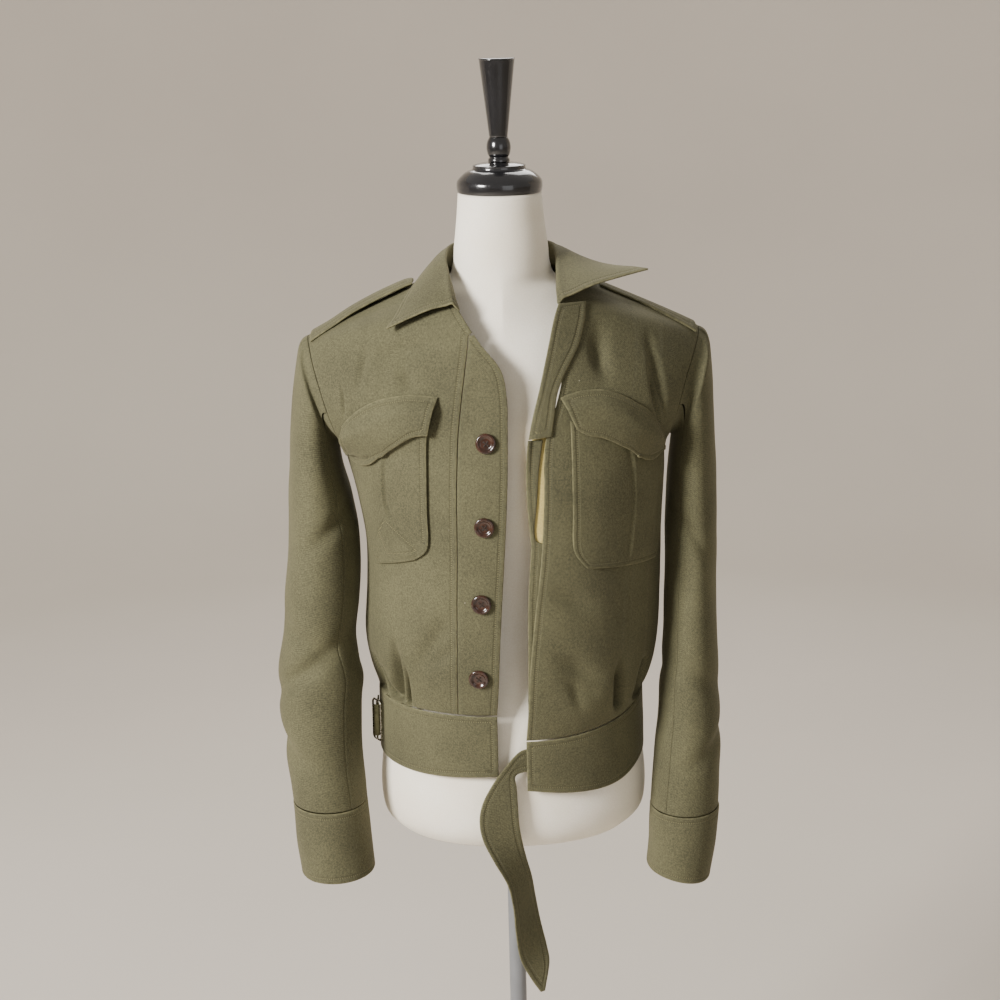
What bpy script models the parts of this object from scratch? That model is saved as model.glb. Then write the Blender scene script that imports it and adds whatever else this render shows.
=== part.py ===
"""A short battledress-style jacket, worn open by a limbless dress form on a pole.

Metres, +Z up. The origin is the middle of the stand's underside, on the floor. The jacket
faces -Y, so the wearer's left is at +X. Every cloth piece is an open surface with a Solidify
wall, and what lies on a front is made from that front's own surface, moved out.
"""

import math
from collections import namedtuple

import bmesh
import bpy
from mathutils import Vector

# Driving sizes
WALL = 0.002  # cloth with its turned-in edges
SEAM = 0.0003  # between pieces that meet edge to edge
TURN = 0.0012  # between panels and what is sewn across their ends, where the wall turns
LAY = 0.0009  # between a piece and the panel that it lies on
NECK_POINT = 0.30  # share of the back's half width that the neckline takes
RIGHT, LEFT = -1, 1  # the wearer's sides, and the sign of x there

BUTTON_RADIUS = 0.0112
POLE_RADIUS = 0.0102
BASE_RADIUS = 0.175
FORM_BOTTOM = 0.655
FORM_TOP = 1.404
FINIAL_TOP = 1.550

# The torso's levels, from the waist seam up to the shoulder seam. The outer points run up the
# side seam to the armpit and then round the armhole.
Outer = namedtuple("Outer", "x_right x_left y z roundness")
FRONT_OUTER = [
    Outer(0.1560, 0.1550, 0.000, 0.834, 1.00),  # waist seam
    Outer(0.1650, 0.1680, 0.000, 0.868, 1.00),  # tuck tops
    Outer(0.1690, 0.1740, 0.000, 0.905, 1.00),  # fullest
    Outer(0.1650, 0.1760, 0.000, 0.960, 1.00),
    Outer(0.1640, 0.1775, 0.000, 1.015, 1.00),
    Outer(0.1720, 0.1785, 0.000, 1.068, 1.00),
    Outer(0.1810, 0.1810, -0.002, 1.108, 1.00),  # just under the armpit
    Outer(0.1850, 0.1840, -0.003, 1.120, 0.95),  # armpit
    Outer(0.1880, 0.1850, -0.050, 1.140, 0.75),
    Outer(0.1970, 0.1930, -0.064, 1.172, 0.55),
    Outer(0.2060, 0.2020, -0.056, 1.202, 0.45),
    Outer(0.2130, 0.2110, -0.040, 1.224, 0.35),
    Outer(0.2175, 0.2175, -0.021, 1.239, 0.25),
    Outer(0.2195, 0.2200, -0.009, 1.246, 0.12),
    Outer(0.2200, 0.2210, 0.003, 1.249, 0.00),  # shoulder tip
]
Edge = namedtuple("Edge", "x y z")
RIGHT_EDGE = [
    Edge(-0.0170, -0.126, 0.834),
    Edge(-0.0145, -0.133, 0.868),
    Edge(-0.0125, -0.137, 0.905),
    Edge(-0.0090, -0.139, 0.960),
    Edge(-0.0050, -0.140, 1.015),
    Edge(-0.0015, -0.141, 1.068),
    Edge(0.0005, -0.140, 1.105),
    Edge(0.0015, -0.138, 1.135),
    Edge(0.0020, -0.135, 1.165),
    Edge(0.0020, -0.131, 1.197),
    Edge(-0.0040, -0.125, 1.228),
    Edge(-0.0260, -0.114, 1.256),
    Edge(-0.0470, -0.096, 1.288),  # foot of the collar
    Edge(-0.0560, -0.050, 1.309),
    Edge(-0.0640, 0.003, 1.319),  # neck point
]
LEFT_EDGE = [
    Edge(0.0150, -0.126, 0.803),
    Edge(0.0180, -0.133, 0.840),
    Edge(0.0205, -0.137, 0.885),
    Edge(0.0270, -0.139, 0.950),
    Edge(0.0345, -0.140, 1.010),
    Edge(0.0385, -0.140, 1.062),
    Edge(0.0400, -0.139, 1.100),
    Edge(0.0405, -0.137, 1.128),
    Edge(0.0440, -0.134, 1.158),
    Edge(0.0540, -0.130, 1.186),
    Edge(0.0620, -0.122, 1.218),
    Edge(0.0640, -0.112, 1.252),
    Edge(0.0600, -0.094, 1.292),
    Edge(0.0600, -0.050, 1.309),
    Edge(0.0640, 0.003, 1.319),
]
BACK_ARMHOLE = [
    Outer(0.1850, 0.1840, 0.003, 1.120, 0.95),
    Outer(0.1880, 0.1850, 0.052, 1.136, 0.80),
    Outer(0.1950, 0.1910, 0.074, 1.168, 0.65),
    Outer(0.2020, 0.1980, 0.074, 1.198, 0.55),
    Outer(0.2100, 0.2070, 0.058, 1.221, 0.45),
    Outer(0.2160, 0.2150, 0.036, 1.238, 0.35),
    Outer(0.2190, 0.2195, 0.018, 1.246, 0.15),
    Outer(0.2200, 0.2210, 0.003, 1.249, 0.00),
]
Spine = namedtuple("Spine", "y z")
SPINE = [
    Spine(0.106, 0.836),
    Spine(0.117, 0.868),
    Spine(0.122, 0.905),
    Spine(0.121, 0.960),
    Spine(0.119, 1.015),
    Spine(0.119, 1.068),
    Spine(0.120, 1.108),
    Spine(0.121, 1.130),
    Spine(0.121, 1.158),
    Spine(0.120, 1.188),
    Spine(0.116, 1.218),
    Spine(0.108, 1.248),
    Spine(0.094, 1.276),
    Spine(0.078, 1.298),
    Spine(0.062, 1.312),  # back of the neckline
]
ARMPIT = 7
TOP = len(FRONT_OUTER) - 1
ROWS = [0, 0.12, 0.45, 1, 1.5, 2, 3, 4, 5, 6, 7, 8, 9, 10, 11, 11.25, 11.6, 12, 12.5, 13, 13.6, 13.92, 14]

# Folds in the torso: (x, z) of both ends as seen from the front, half width, depth inwards.
Fold = namedtuple("Fold", "side face x1 z1 x2 z2 width depth")
FRONT, BACK = -1, 1
FOLDS = [
    Fold(RIGHT, FRONT, -0.150, 0.836, -0.160, 0.882, 0.0070, 0.0150),  # waist tucks
    Fold(RIGHT, FRONT, -0.131, 0.836, -0.132, 0.908, 0.0072, 0.0170),
    Fold(LEFT, FRONT, 0.124, 0.834, 0.124, 0.890, 0.0072, 0.0160),
    Fold(LEFT, FRONT, 0.147, 0.832, 0.155, 0.876, 0.0070, 0.0150),
    Fold(RIGHT, BACK, -0.125, 0.832, -0.122, 0.900, 0.0060, 0.0090),
    Fold(RIGHT, BACK, -0.080, 0.832, -0.076, 0.895, 0.0060, 0.0080),
    Fold(LEFT, BACK, 0.125, 0.832, 0.120, 0.895, 0.0060, 0.0090),
    Fold(LEFT, BACK, 0.080, 0.832, 0.077, 0.905, 0.0060, 0.0080),
    Fold(LEFT, FRONT, 0.158, 1.248, 0.177, 1.165, 0.0100, 0.0055),  # drapes by the armholes
    Fold(LEFT, FRONT, 0.101, 1.270, 0.108, 1.215, 0.0120, 0.0040),
    Fold(RIGHT, FRONT, -0.075, 1.250, -0.150, 1.232, 0.0120, 0.0035),
    Fold(RIGHT, FRONT, -0.066, 0.950, -0.108, 0.885, 0.0110, 0.0035),
    Fold(LEFT, FRONT, 0.050, 0.905, 0.100, 0.868, 0.0110, 0.0040),
    Fold(LEFT, FRONT, 0.045, 0.985, 0.095, 0.955, 0.0100, 0.0030),
    Fold(RIGHT, BACK, -0.165, 1.160, -0.120, 1.060, 0.0130, 0.0050),
    Fold(LEFT, BACK, 0.168, 1.165, 0.118, 1.055, 0.0130, 0.0050),
]

# Sleeve rings: the outermost and innermost points, and the half depth front to back.
Ring = namedtuple("Ring", "x_out z_out x_in z_in y half_depth")
RIGHT_SLEEVE = [
    Ring(0.2340, 1.226, 0.1920, 1.1200, 0.009, 0.066),
    Ring(0.2420, 1.178, 0.1880, 1.0900, 0.009, 0.067),
    Ring(0.2475, 1.120, 0.1795, 1.0600, 0.007, 0.066),
    Ring(0.2515, 1.065, 0.1730, 1.0250, 0.003, 0.064),
    Ring(0.2545, 1.005, 0.1715, 0.9850, -0.003, 0.061),
    Ring(0.2610, 0.950, 0.1745, 0.9380, -0.010, 0.059),
    Ring(0.2640, 0.905, 0.1800, 0.8960, -0.017, 0.057),
    Ring(0.2710, 0.862, 0.1715, 0.8580, -0.023, 0.055),
    Ring(0.2720, 0.825, 0.1750, 0.8220, -0.030, 0.053),
    Ring(0.2665, 0.768, 0.1765, 0.7660, -0.040, 0.050),
    Ring(0.2590, 0.708, 0.1725, 0.7070, -0.049, 0.047),
]
LEFT_SLEEVE = [
    Ring(0.2345, 1.226, 0.1915, 1.1200, 0.009, 0.067),
    Ring(0.2380, 1.178, 0.1880, 1.0900, 0.009, 0.069),
    Ring(0.2400, 1.120, 0.1850, 1.0600, 0.007, 0.070),
    Ring(0.2420, 1.060, 0.1835, 1.0250, 0.003, 0.069),
    Ring(0.2415, 1.000, 0.1825, 0.9830, -0.003, 0.067),
    Ring(0.2405, 0.945, 0.1810, 0.9330, -0.010, 0.064),
    Ring(0.2415, 0.895, 0.1785, 0.8870, -0.017, 0.061),
    Ring(0.2425, 0.850, 0.1745, 0.8450, -0.024, 0.058),
    Ring(0.2440, 0.800, 0.1715, 0.7970, -0.032, 0.054),
    Ring(0.2435, 0.752, 0.1660, 0.7500, -0.040, 0.050),
    Ring(0.2400, 0.6915, 0.1605, 0.6925, -0.050, 0.047),
]
CUFF_RIGHT = [
    Ring(0.2600, 0.7070, 0.1720, 0.7060, -0.0490, 0.0480),
    Ring(0.2590, 0.6980, 0.1715, 0.6970, -0.0505, 0.0480),
    Ring(0.2570, 0.6610, 0.1690, 0.6600, -0.0550, 0.0470),
    Ring(0.2525, 0.6210, 0.1655, 0.6240, -0.0600, 0.0455),
]
CUFF_LEFT = [
    Ring(0.2410, 0.6905, 0.1600, 0.6915, -0.0500, 0.0480),
    Ring(0.2405, 0.6820, 0.1595, 0.6830, -0.0510, 0.0480),
    Ring(0.2360, 0.6430, 0.1575, 0.6470, -0.0560, 0.0465),
    Ring(0.2295, 0.6050, 0.1550, 0.6200, -0.0600, 0.0445),
]
AROUND = 14  # columns in half a sleeve, two for each level of the armhole
SLEEVE_SEAM = 10  # the column where the top sleeve ends and the under sleeve starts
HEAD_LIFT = 0.0028  # the sleeve's first step on past the armhole seam
# Creases of a sleeve: angle from the outer side towards the front, height, slope, half length
# in degrees, half width and depth.
Crease = namedtuple("Crease", "side angle z slope reach width depth")
CREASES = [
    Crease(RIGHT, 60, 0.865, 0.030, 65, 0.013, 0.0050),
    Crease(RIGHT, 75, 0.905, -0.020, 45, 0.012, 0.0035),
    Crease(RIGHT, 20, 0.780, -0.022, 60, 0.014, 0.0035),
    Crease(RIGHT, -120, 0.880, 0.015, 60, 0.014, 0.0045),
    Crease(RIGHT, 110, 1.035, 0.030, 40, 0.012, 0.0035),
    Crease(LEFT, 70, 0.850, 0.018, 60, 0.013, 0.0035),
    Crease(LEFT, 95, 1.020, 0.035, 40, 0.013, 0.0035),
    Crease(LEFT, -115, 0.870, 0.018, 60, 0.014, 0.0045),
    Crease(LEFT, 40, 0.770, -0.020, 50, 0.013, 0.0030),
]

# Collar stations from the right front round the neck: where on the neckline, the fold line and
# the outer edge.
Station = namedtuple("Station", "fold edge")
COLLAR = [
    Station((-0.0545, -0.0965, 1.2960), (-0.1260, -0.0865, 1.2690)),
    Station((-0.0575, -0.0720, 1.3100), (-0.1180, -0.0715, 1.2780)),
    Station((-0.0600, -0.0400, 1.3230), (-0.1080, -0.0480, 1.2930)),
    Station((-0.0630, -0.0050, 1.3350), (-0.0960, -0.0160, 1.3070)),
    Station((-0.0560, 0.0340, 1.3410), (-0.0810, 0.0320, 1.3155)),
    Station((-0.0330, 0.0620, 1.3430), (-0.0480, 0.0810, 1.3115)),
    Station((0.0000, 0.0740, 1.3440), (0.0000, 0.1010, 1.3030)),
    Station((0.0330, 0.0620, 1.3430), (0.0500, 0.0820, 1.3130)),
    Station((0.0570, 0.0350, 1.3410), (0.0830, 0.0370, 1.3190)),
    Station((0.0620, 0.0000, 1.3370), (0.1060, 0.0050, 1.3210)),
    Station((0.0620, -0.0350, 1.3230), (0.1280, -0.0160, 1.3205)),
    Station((0.0630, -0.0680, 1.3090), (0.1480, -0.0360, 1.3215)),
    Station((0.0660, -0.0920, 1.2990), (0.1600, -0.0500, 1.3215)),
]

# Strips and patches in front view: inner and outer side of each row, bottom to top.
Patch = namedtuple("Patch", "x1 z1 x2 z2")
STAND_TOP = 11.25  # the level where the button stand meets the neckline
STAND_GAP = 0.0012  # half its seam's gap, as a share of the front
# How far right of the middle the stand's seam lies, at each level up to there.
STAND_SEAM = [
    *(0.0610, 0.0605, 0.0600, 0.0585, 0.0565, 0.0555),
    *(0.0545, 0.0530, 0.0510, 0.0470, 0.0425, 0.0385, 0.0360),
]
FLY = [
    Patch(0.0175, 0.8045, 0.034, 0.8145),
    Patch(0.0180, 0.850, 0.040, 0.850),
    Patch(0.0190, 0.910, 0.044, 0.910),
    Patch(0.0200, 0.970, 0.046, 0.970),
    Patch(0.0240, 1.030, 0.0440, 1.030),
    Patch(0.0235, 1.0430, 0.0290, 1.0430),
    Patch(0.0205, 1.085, 0.0320, 1.085),
    Patch(0.0205, 1.120, 0.0350, 1.120),
    Patch(0.0235, 1.1520, 0.0400, 1.1520),
]
LINING = [
    Patch(0.0240, 1.035, 0.060, 1.035),
    Patch(0.0240, 1.064, 0.062, 1.064),
    Patch(0.0245, 1.090, 0.064, 1.090),
    Patch(0.0260, 1.120, 0.066, 1.120),
    Patch(0.0290, 1.165, 0.070, 1.165),
]
LAPEL = [
    Patch(0.0240, 1.1530, 0.0490, 1.1560),
    Patch(0.0290, 1.178, 0.0525, 1.180),
    Patch(0.0355, 1.203, 0.0565, 1.203),
    Patch(0.0415, 1.228, 0.0665, 1.226),
    Patch(0.0475, 1.253, 0.0790, 1.249),
    Patch(0.0535, 1.278, 0.0870, 1.274),
    Patch(0.0590, 1.2920, 0.0895, 1.2905),
]
POCKET_RIGHT = [
    Patch(-0.102, 1.0150, -0.146, 0.9985),
    Patch(-0.0875, 1.0310, -0.1535, 1.0180),
    Patch(-0.0865, 1.070, -0.1590, 1.062),
    Patch(-0.0860, 1.110, -0.1640, 1.100),
    Patch(-0.0850, 1.150, -0.1740, 1.140),
    Patch(-0.0820, 1.172, -0.1730, 1.148),
]
POCKET_LEFT = [
    Patch(0.0850, 1.0065, 0.1640, 0.9965),
    Patch(0.0705, 1.0290, 0.1690, 1.020),
    Patch(0.0700, 1.070, 0.1720, 1.062),
    Patch(0.0700, 1.110, 0.1740, 1.100),
    Patch(0.0695, 1.150, 0.1740, 1.136),
    Patch(0.0690, 1.172, 0.1740, 1.144),
]
# A flap's columns from its inner to its outer end: bottom and top.
Column = namedtuple("Column", "x_low z_low x_high z_high")
FLAP_RIGHT = [
    Column(-0.0820, 1.1580, -0.0720, 1.1985),
    Column(-0.0950, 1.1570, -0.0880, 1.2000),
    Column(-0.1080, 1.1510, -0.1040, 1.2000),
    Column(-0.1220, 1.1400, -0.1200, 1.1975),
    Column(-0.1350, 1.1260, -0.1360, 1.1935),
    Column(-0.1490, 1.1170, -0.1520, 1.1860),
    Column(-0.1640, 1.1190, -0.1680, 1.1740),
    Column(-0.1760, 1.1310, -0.1800, 1.1600),
]
FLAP_LEFT = [
    Column(0.0740, 1.1630, 0.0590, 1.1970),
    Column(0.0870, 1.1550, 0.0760, 1.2020),
    Column(0.1010, 1.1520, 0.0930, 1.2030),
    Column(0.1160, 1.1440, 0.1090, 1.2010),
    Column(0.1300, 1.1340, 0.1250, 1.1950),
    Column(0.1430, 1.1200, 0.1400, 1.1860),
    Column(0.1560, 1.1160, 0.1550, 1.1750),
    Column(0.1700, 1.1230, 0.1690, 1.1560),
]
PLEAT_X = {RIGHT: -0.128, LEFT: 0.134}
PLEAT_RISE = 0.0018
FLAP_GAP = 0.0042  # between a flap and its pocket

BUTTON_PLACES = [(-0.0215, 1.150), (-0.0255, 1.058), (-0.0310, 0.970), (-0.0360, 0.882)]

# The waistband's hem: how far each point lies below the waist seam, from front edge to back.
HEM_RIGHT = [0.0735, 0.0765, 0.0785, 0.0785, 0.0790]
HEM_LEFT = [0.0610, 0.0700, 0.0780, 0.0780, 0.0790]
HEM_BACK = 0.0800

# The belt's loose end: both edges down its length.
Strap = namedtuple("Strap", "x1 y1 z1 x2 y2 z2")
STRAP = [
    Strap(0.024, -0.1210, 0.792, 0.026, -0.1210, 0.764),
    Strap(0.008, -0.1248, 0.790, 0.010, -0.1248, 0.764),
    Strap(-0.008, -0.1300, 0.775, 0.0020, -0.1270, 0.760),
    Strap(-0.024, -0.1330, 0.754, 0.0030, -0.1290, 0.748),
    Strap(-0.036, -0.1360, 0.732, 0.0040, -0.1310, 0.726),
    Strap(-0.040, -0.1390, 0.711, 0.0050, -0.1300, 0.704),
    Strap(-0.036, -0.1410, 0.688, 0.0080, -0.1260, 0.682),
    Strap(-0.023, -0.1420, 0.660, 0.0130, -0.1180, 0.656),
    Strap(-0.009, -0.1400, 0.632, 0.0190, -0.1070, 0.628),
    Strap(-0.003, -0.1390, 0.602, 0.0230, -0.1030, 0.600),
    Strap(-0.001, -0.1370, 0.570, 0.0280, -0.1040, 0.570),
    Strap(0.003, -0.1340, 0.536, 0.0350, -0.1090, 0.538),
    Strap(0.015, -0.1300, 0.508, 0.0370, -0.1150, 0.520),
    Strap(0.026, -0.1270, 0.489, 0.0310, -0.1250, 0.490),
]

# Shoulder straps: distance from the middle, height above the shoulder seam, half width.
Tab = namedtuple("Tab", "x rise half_width")
TAB_RIGHT = [
    Tab(0.2155, 0.0000, 0.022),
    Tab(0.1950, 0.0020, 0.022),
    Tab(0.1700, 0.0065, 0.021),
    Tab(0.1400, 0.0085, 0.020),
    Tab(0.1150, 0.0080, 0.019),
    Tab(0.1060, 0.0070, 0.018),
    Tab(0.1005, 0.0052, 0.017),
]
TAB_LEFT = [
    Tab(0.2160, 0.0000, 0.022),
    Tab(0.1950, 0.0008, 0.022),
    Tab(0.1700, 0.0012, 0.021),
    Tab(0.1450, 0.0012, 0.020),
    Tab(0.1200, 0.0010, 0.019),
    Tab(0.1100, 0.0006, 0.017),
]

# The dress form's rings, top to bottom: half width, depths, height and squareness.
Section = namedtuple("Section", "z half_width front back power")
FORM = [
    Section(1.4040, 0.0465, 0.0465, 0.0465, 2.0),
    Section(1.3750, 0.0490, 0.0500, 0.0480, 2.0),
    Section(1.3450, 0.0525, 0.0560, 0.0500, 2.0),
    Section(1.3250, 0.0545, 0.0600, 0.0510, 1.9),
    Section(1.3100, 0.0640, 0.0660, 0.0540, 1.6),
    Section(1.2950, 0.1105, 0.0740, 0.0590, 1.30),
    Section(1.2800, 0.1450, 0.0810, 0.0650, 1.25),
    Section(1.2680, 0.1600, 0.0860, 0.0710, 1.35),
    Section(1.2500, 0.1680, 0.0930, 0.0790, 1.6),
    Section(1.2200, 0.1660, 0.1020, 0.0880, 1.9),
    Section(1.1800, 0.1580, 0.1110, 0.0950, 2.1),
    Section(1.1300, 0.1520, 0.1190, 0.0980, 2.2),
    Section(1.0000, 0.1380, 0.1080, 0.0920, 2.1),
    Section(0.9300, 0.1270, 0.0980, 0.0890, 2.0),
    Section(0.8700, 0.1350, 0.1010, 0.0930, 2.0),
    Section(0.8200, 0.1470, 0.1090, 0.0960, 2.0),
    Section(0.7700, 0.1520, 0.1150, 0.1000, 2.0),
    Section(0.7250, 0.1570, 0.1170, 0.1060, 2.05),
    Section(0.6950, 0.1570, 0.1150, 0.1060, 2.05),
    Section(0.6750, 0.1520, 0.1080, 0.1010, 2.05),
    Section(0.6600, 0.1360, 0.0950, 0.0880, 2.1),
]
FORM_SIDES = 24

COLOURS = {
    "wool_twill": ((0.137, 0.127, 0.055, 1), 0.9, 0),
    "lining_cloth": ((0.58, 0.47, 0.19, 1), 0.8, 0),
    "form_jersey": ((0.87, 0.81, 0.70, 1), 0.9, 0),
    "black_lacquer": ((0.008, 0.008, 0.009, 1), 0.2, 0),
    "button_plastic": ((0.035, 0.012, 0.006, 1), 0.25, 0),
    "buckle_steel": ((0.55, 0.54, 0.50, 1), 0.3, 1),
    "stand_steel": ((0.35, 0.35, 0.36, 1), 0.35, 1),
}


def spline(rows, t):
    """The values of a table at t, counted in rows, on a smooth curve through them."""
    last = len(rows) - 1
    t = min(max(t, 0.0), last)
    i = min(int(t), last - 1)
    f = t - i
    near = [rows[min(max(k, 0), last)] for k in (i - 1, i, i + 1, i + 2)]
    return [
        0.5 * (2 * b + (c - a) * f + (2 * a - 5 * b + 4 * c - d) * f**2 + (3 * b - a - 3 * c + d) * f**3)
        for a, b, c, d in zip(*near)
    ]


def smooth(share):
    share = min(max(share, 0.0), 1.0)
    return share * share * (3 - 2 * share)


def normal_of(place, a, b, outward, step=0.01):
    """The unit normal of a surface at (a, b), on the side that outward points to."""
    across = place(a + step, b) - place(a - step, b)
    along = place(a, b + step) - place(a, b - step)
    normal = across.cross(along).normalized()
    return normal if normal.dot(outward) > 0 else -normal


# The torso


def crest(t):
    """Levels the last stretch below the shoulder seam, so that front and back meet flat."""
    return t if t < TOP - 1 else TOP - (TOP - t) ** 2


def bowed(inner, outer, share, roundness):
    """A level's line from its inner to its outer point: straight, or a quarter of an ellipse."""
    turn = share * math.pi / 2
    across = share + (math.sin(turn) - share) * roundness
    back = share + (1 - math.cos(turn) - share) * roundness
    rise = share + (share * share - share) * roundness
    return Vector(
        (
            inner[0] + (outer[0] - inner[0]) * across,
            inner[1] + (outer[1] - inner[1]) * back,
            inner[2] + (outer[2] - inner[2]) * rise,
        )
    )


def front_outer(side, t):
    x_right, x_left, y, z, roundness = spline(FRONT_OUTER, t)
    if t <= ARMPIT:
        y = 0.0
    z = spline(FRONT_OUTER, crest(t))[3]
    return (-x_right if side == RIGHT else x_left, y, z), roundness


def back_outer(side, t):
    if t <= ARMPIT:
        return front_outer(side, t)
    x_right, x_left, y, z, roundness = spline(FRONT_OUTER[:ARMPIT] + BACK_ARMHOLE, t)
    return (-x_right if side == RIGHT else x_left, y, z), roundness


def arc(x):
    """The distance round the torso from its middle line to the point x off the middle."""
    reach = 0.182
    return reach * math.asin(min(max(x / reach, -1), 1))


def fold_depth(side, face, point, t, share):
    """How far the folds push a point of the torso inwards; nothing on its seams."""
    depth = 0.0
    for fold in FOLDS:
        if fold.side != side or fold.face != face:
            continue
        start = Vector((arc(fold.x1), fold.z1))
        along = Vector((arc(fold.x2), fold.z2)) - start
        offset = Vector((arc(point.x), point.z)) - start
        s = offset.dot(along) / along.length_squared
        aside = (offset - along * min(max(s, 0), 1)).length
        fade = smooth((1.25 - s) / 0.9) * (1 if fold.z1 < 0.84 else smooth((s + 0.25) / 0.9))
        depth += fold.depth * math.exp(-((aside / fold.width) ** 2)) * fade
    return depth * smooth((t - 0.12) / 0.4) * smooth((1 - share) / 0.07) * smooth((TOP - t) / 0.6)


def pressed(point, depth):
    inward = Vector((-point.x / 0.170**2, -point.y / 0.130**2, 0))
    return point + inward.normalized() * depth


def front(side, t, share):
    """A point of a front: t counts the levels, share runs from the front edge to the side."""
    outer, roundness = front_outer(side, t)
    edges = RIGHT_EDGE if side == RIGHT else LEFT_EDGE
    inner = spline(edges, t)
    inner[2] = spline(edges, crest(t))[2]
    point = bowed(inner, outer, share, roundness)
    return pressed(point, fold_depth(side, FRONT, point, t, share))


def neckline_back(side, share):
    """The back's top line: half the neckline, then the shoulder seam."""
    neck = Vector(RIGHT_EDGE[TOP] if side == RIGHT else LEFT_EDGE[TOP])
    if share >= NECK_POINT:
        tip = Vector(front_outer(side, TOP)[0])
        return neck.lerp(tip, (share - NECK_POINT) / (1 - NECK_POINT))
    turn = share / NECK_POINT * math.pi / 2
    middle = SPINE[TOP]
    y = neck.y + (middle.y - neck.y) * math.cos(turn)
    return Vector((neck.x * math.sin(turn), y, middle.z + (neck.z - middle.z) * math.sin(turn)))


def back(side, t, share):
    """A point of the back: share runs from the spine to the side."""
    yoke = TOP - 2
    outer, roundness = back_outer(side, min(t, yoke))
    spine = spline(SPINE, min(t, yoke))
    point = bowed((0.0, spine[0], spine[1]), outer, share, roundness)
    if t > yoke:
        part = (t - yoke) / 2
        top = neckline_back(side, share)
        low = point
        point = low.lerp(top, part)
        point.z = low.z + (top.z - low.z) * (1 - (1 - part) ** 2)
    return pressed(point, fold_depth(side, BACK, point, t, share))


def stand_share(t):
    """Where the button stand's seam crosses a level of the right front."""
    if t > STAND_TOP:
        return 0.0
    inner, outer = spline(RIGHT_EDGE, t), front_outer(RIGHT, t)[0]
    seam_x = -spline([(x,) for x in STAND_SEAM], t)[0]
    ratio = (seam_x - inner[0]) / (outer[0] - inner[0])
    roundness = front_outer(RIGHT, t)[1]
    share = ratio
    for _ in range(8):
        share -= (share + (math.sin(share * math.pi / 2) - share) * roundness - ratio) / 1.2
    return share


COLUMNS = {
    RIGHT: [0, 0.12, 0.24, 0.36, 0.46, 0.53, 0.56, 0.59, 0.62, 0.66, 0.72, 0.76, 0.785, 0.81, 0.84],
    LEFT: [0, 0.12, 0.24, 0.36, 0.44, 0.49, 0.52, 0.55, 0.58, 0.62, 0.69, 0.74, 0.77, 0.80, 0.84],
}
for side_columns in COLUMNS.values():
    side_columns += [0.92, 0.985, 1]
BACK_ROWS = [t for t in ROWS if t not in (11.25, 11.6, 12.5)]
BACK_SHARES = [0, 0.15, NECK_POINT, 0.39, 0.46, 0.55, 0.59, 0.63, 0.70, 0.80, 0.90, 0.985, 1]


def front_grid(side, row, column):
    """The front's own corner points, which are what the panel's facets span."""
    return front(side, ROWS[row], COLUMNS[side][column])


def cell(values, value):
    """The stretch of a rising list that holds a value, and how far along it lies."""
    i = 0
    while i < len(values) - 2 and values[i + 1] < value:
        i += 1
    return i, (value - values[i]) / (values[i + 1] - values[i])


def on_front(side, x, z, lift):
    """The point of a front's facets that is seen at (x, z), moved out by lift."""
    t, share = 6.0, 0.5
    for _ in range(14):
        here = front(side, t, share)
        by_t = (front(side, t + 0.01, share) - here) / 0.01
        by_share = (front(side, t, share + 0.01) - here) / 0.01
        miss_x, miss_z = x - here.x, z - here.z
        det = by_t.x * by_share.z - by_t.z * by_share.x
        if abs(det) < 1e-9:
            break
        step_t = (miss_x * by_share.z - miss_z * by_share.x) / det
        step_share = (by_t.x * miss_z - by_t.z * miss_x) / det
        t = min(max(t + min(max(step_t, -1.5), 1.5), 0), TOP - 0.12)
        share = min(max(share + min(max(step_share, -0.2), 0.2), -0.3), 0.98)
    row, along = cell(ROWS, t)
    column, across = cell(COLUMNS[side], max(share, 0))
    corners = [front_grid(side, row + i, column + k) for i, k in ((0, 0), (0, 1), (1, 0), (1, 1))]
    low = corners[0].lerp(corners[1], across)
    high = corners[2].lerp(corners[3], across)
    normal = normal_of(lambda a, b: front(side, a, b), t, share, Vector((0.0, -1.0, 0.15)))
    point = low.lerp(high, along)
    if share < 0:
        point = front(side, t, share)
    return point + normal * lift


# The sleeves


def armhole(side, column):
    """A corner of the armhole and the way the cloth runs on from it into the sleeve."""
    panel = front if column >= 0 else back
    level = TOP - abs(column) / 2
    low, high = int(math.floor(level)), int(math.ceil(level))
    edge = (panel(side, low, 1) + panel(side, high, 1)) / 2
    inside = (panel(side, low, 0.985) + panel(side, high, 0.985)) / 2
    run = (edge - inside).normalized()
    upward = Vector((0.25 * side, 0, 1)).normalized()
    part = min(max((ARMPIT + 2.5 - level) / 2.5, 0), 1)
    return edge, run.lerp(upward, part).normalized()


def ring_point(side, rings, t, column):
    ring = Ring(*spline(rings, t))
    angle = math.pi * column / AROUND
    middle_x, middle_z = (ring.x_out + ring.x_in) / 2, (ring.z_out + ring.z_in) / 2
    half_x, half_z = (ring.x_out - ring.x_in) / 2, (ring.z_out - ring.z_in) / 2
    point = Vector(
        (
            side * (middle_x + half_x * math.cos(angle)),
            ring.y - ring.half_depth * math.sin(angle),
            middle_z + half_z * math.cos(angle),
        )
    )
    inward = Vector((-side * math.cos(angle), math.sin(angle), 0))
    return point, inward


def crease_depth(side, column, z):
    degrees = 180 * column / AROUND
    depth = 0.0
    for crease in CREASES:
        if crease.side != side:
            continue
        turn = degrees - crease.angle
        aside = (z - crease.z - crease.slope * turn / 60) / crease.width
        depth += crease.depth * math.exp(-(aside**2) - (turn / crease.reach) ** 2)
    return depth


SLEEVE_ROWS = [0, 1, 2, 3, 4, 5, 6, 6.6, 7.2, 7.8, 8.5, 9.25, 10]
CUFF_ROWS = [0, 1.6, 3]


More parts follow.
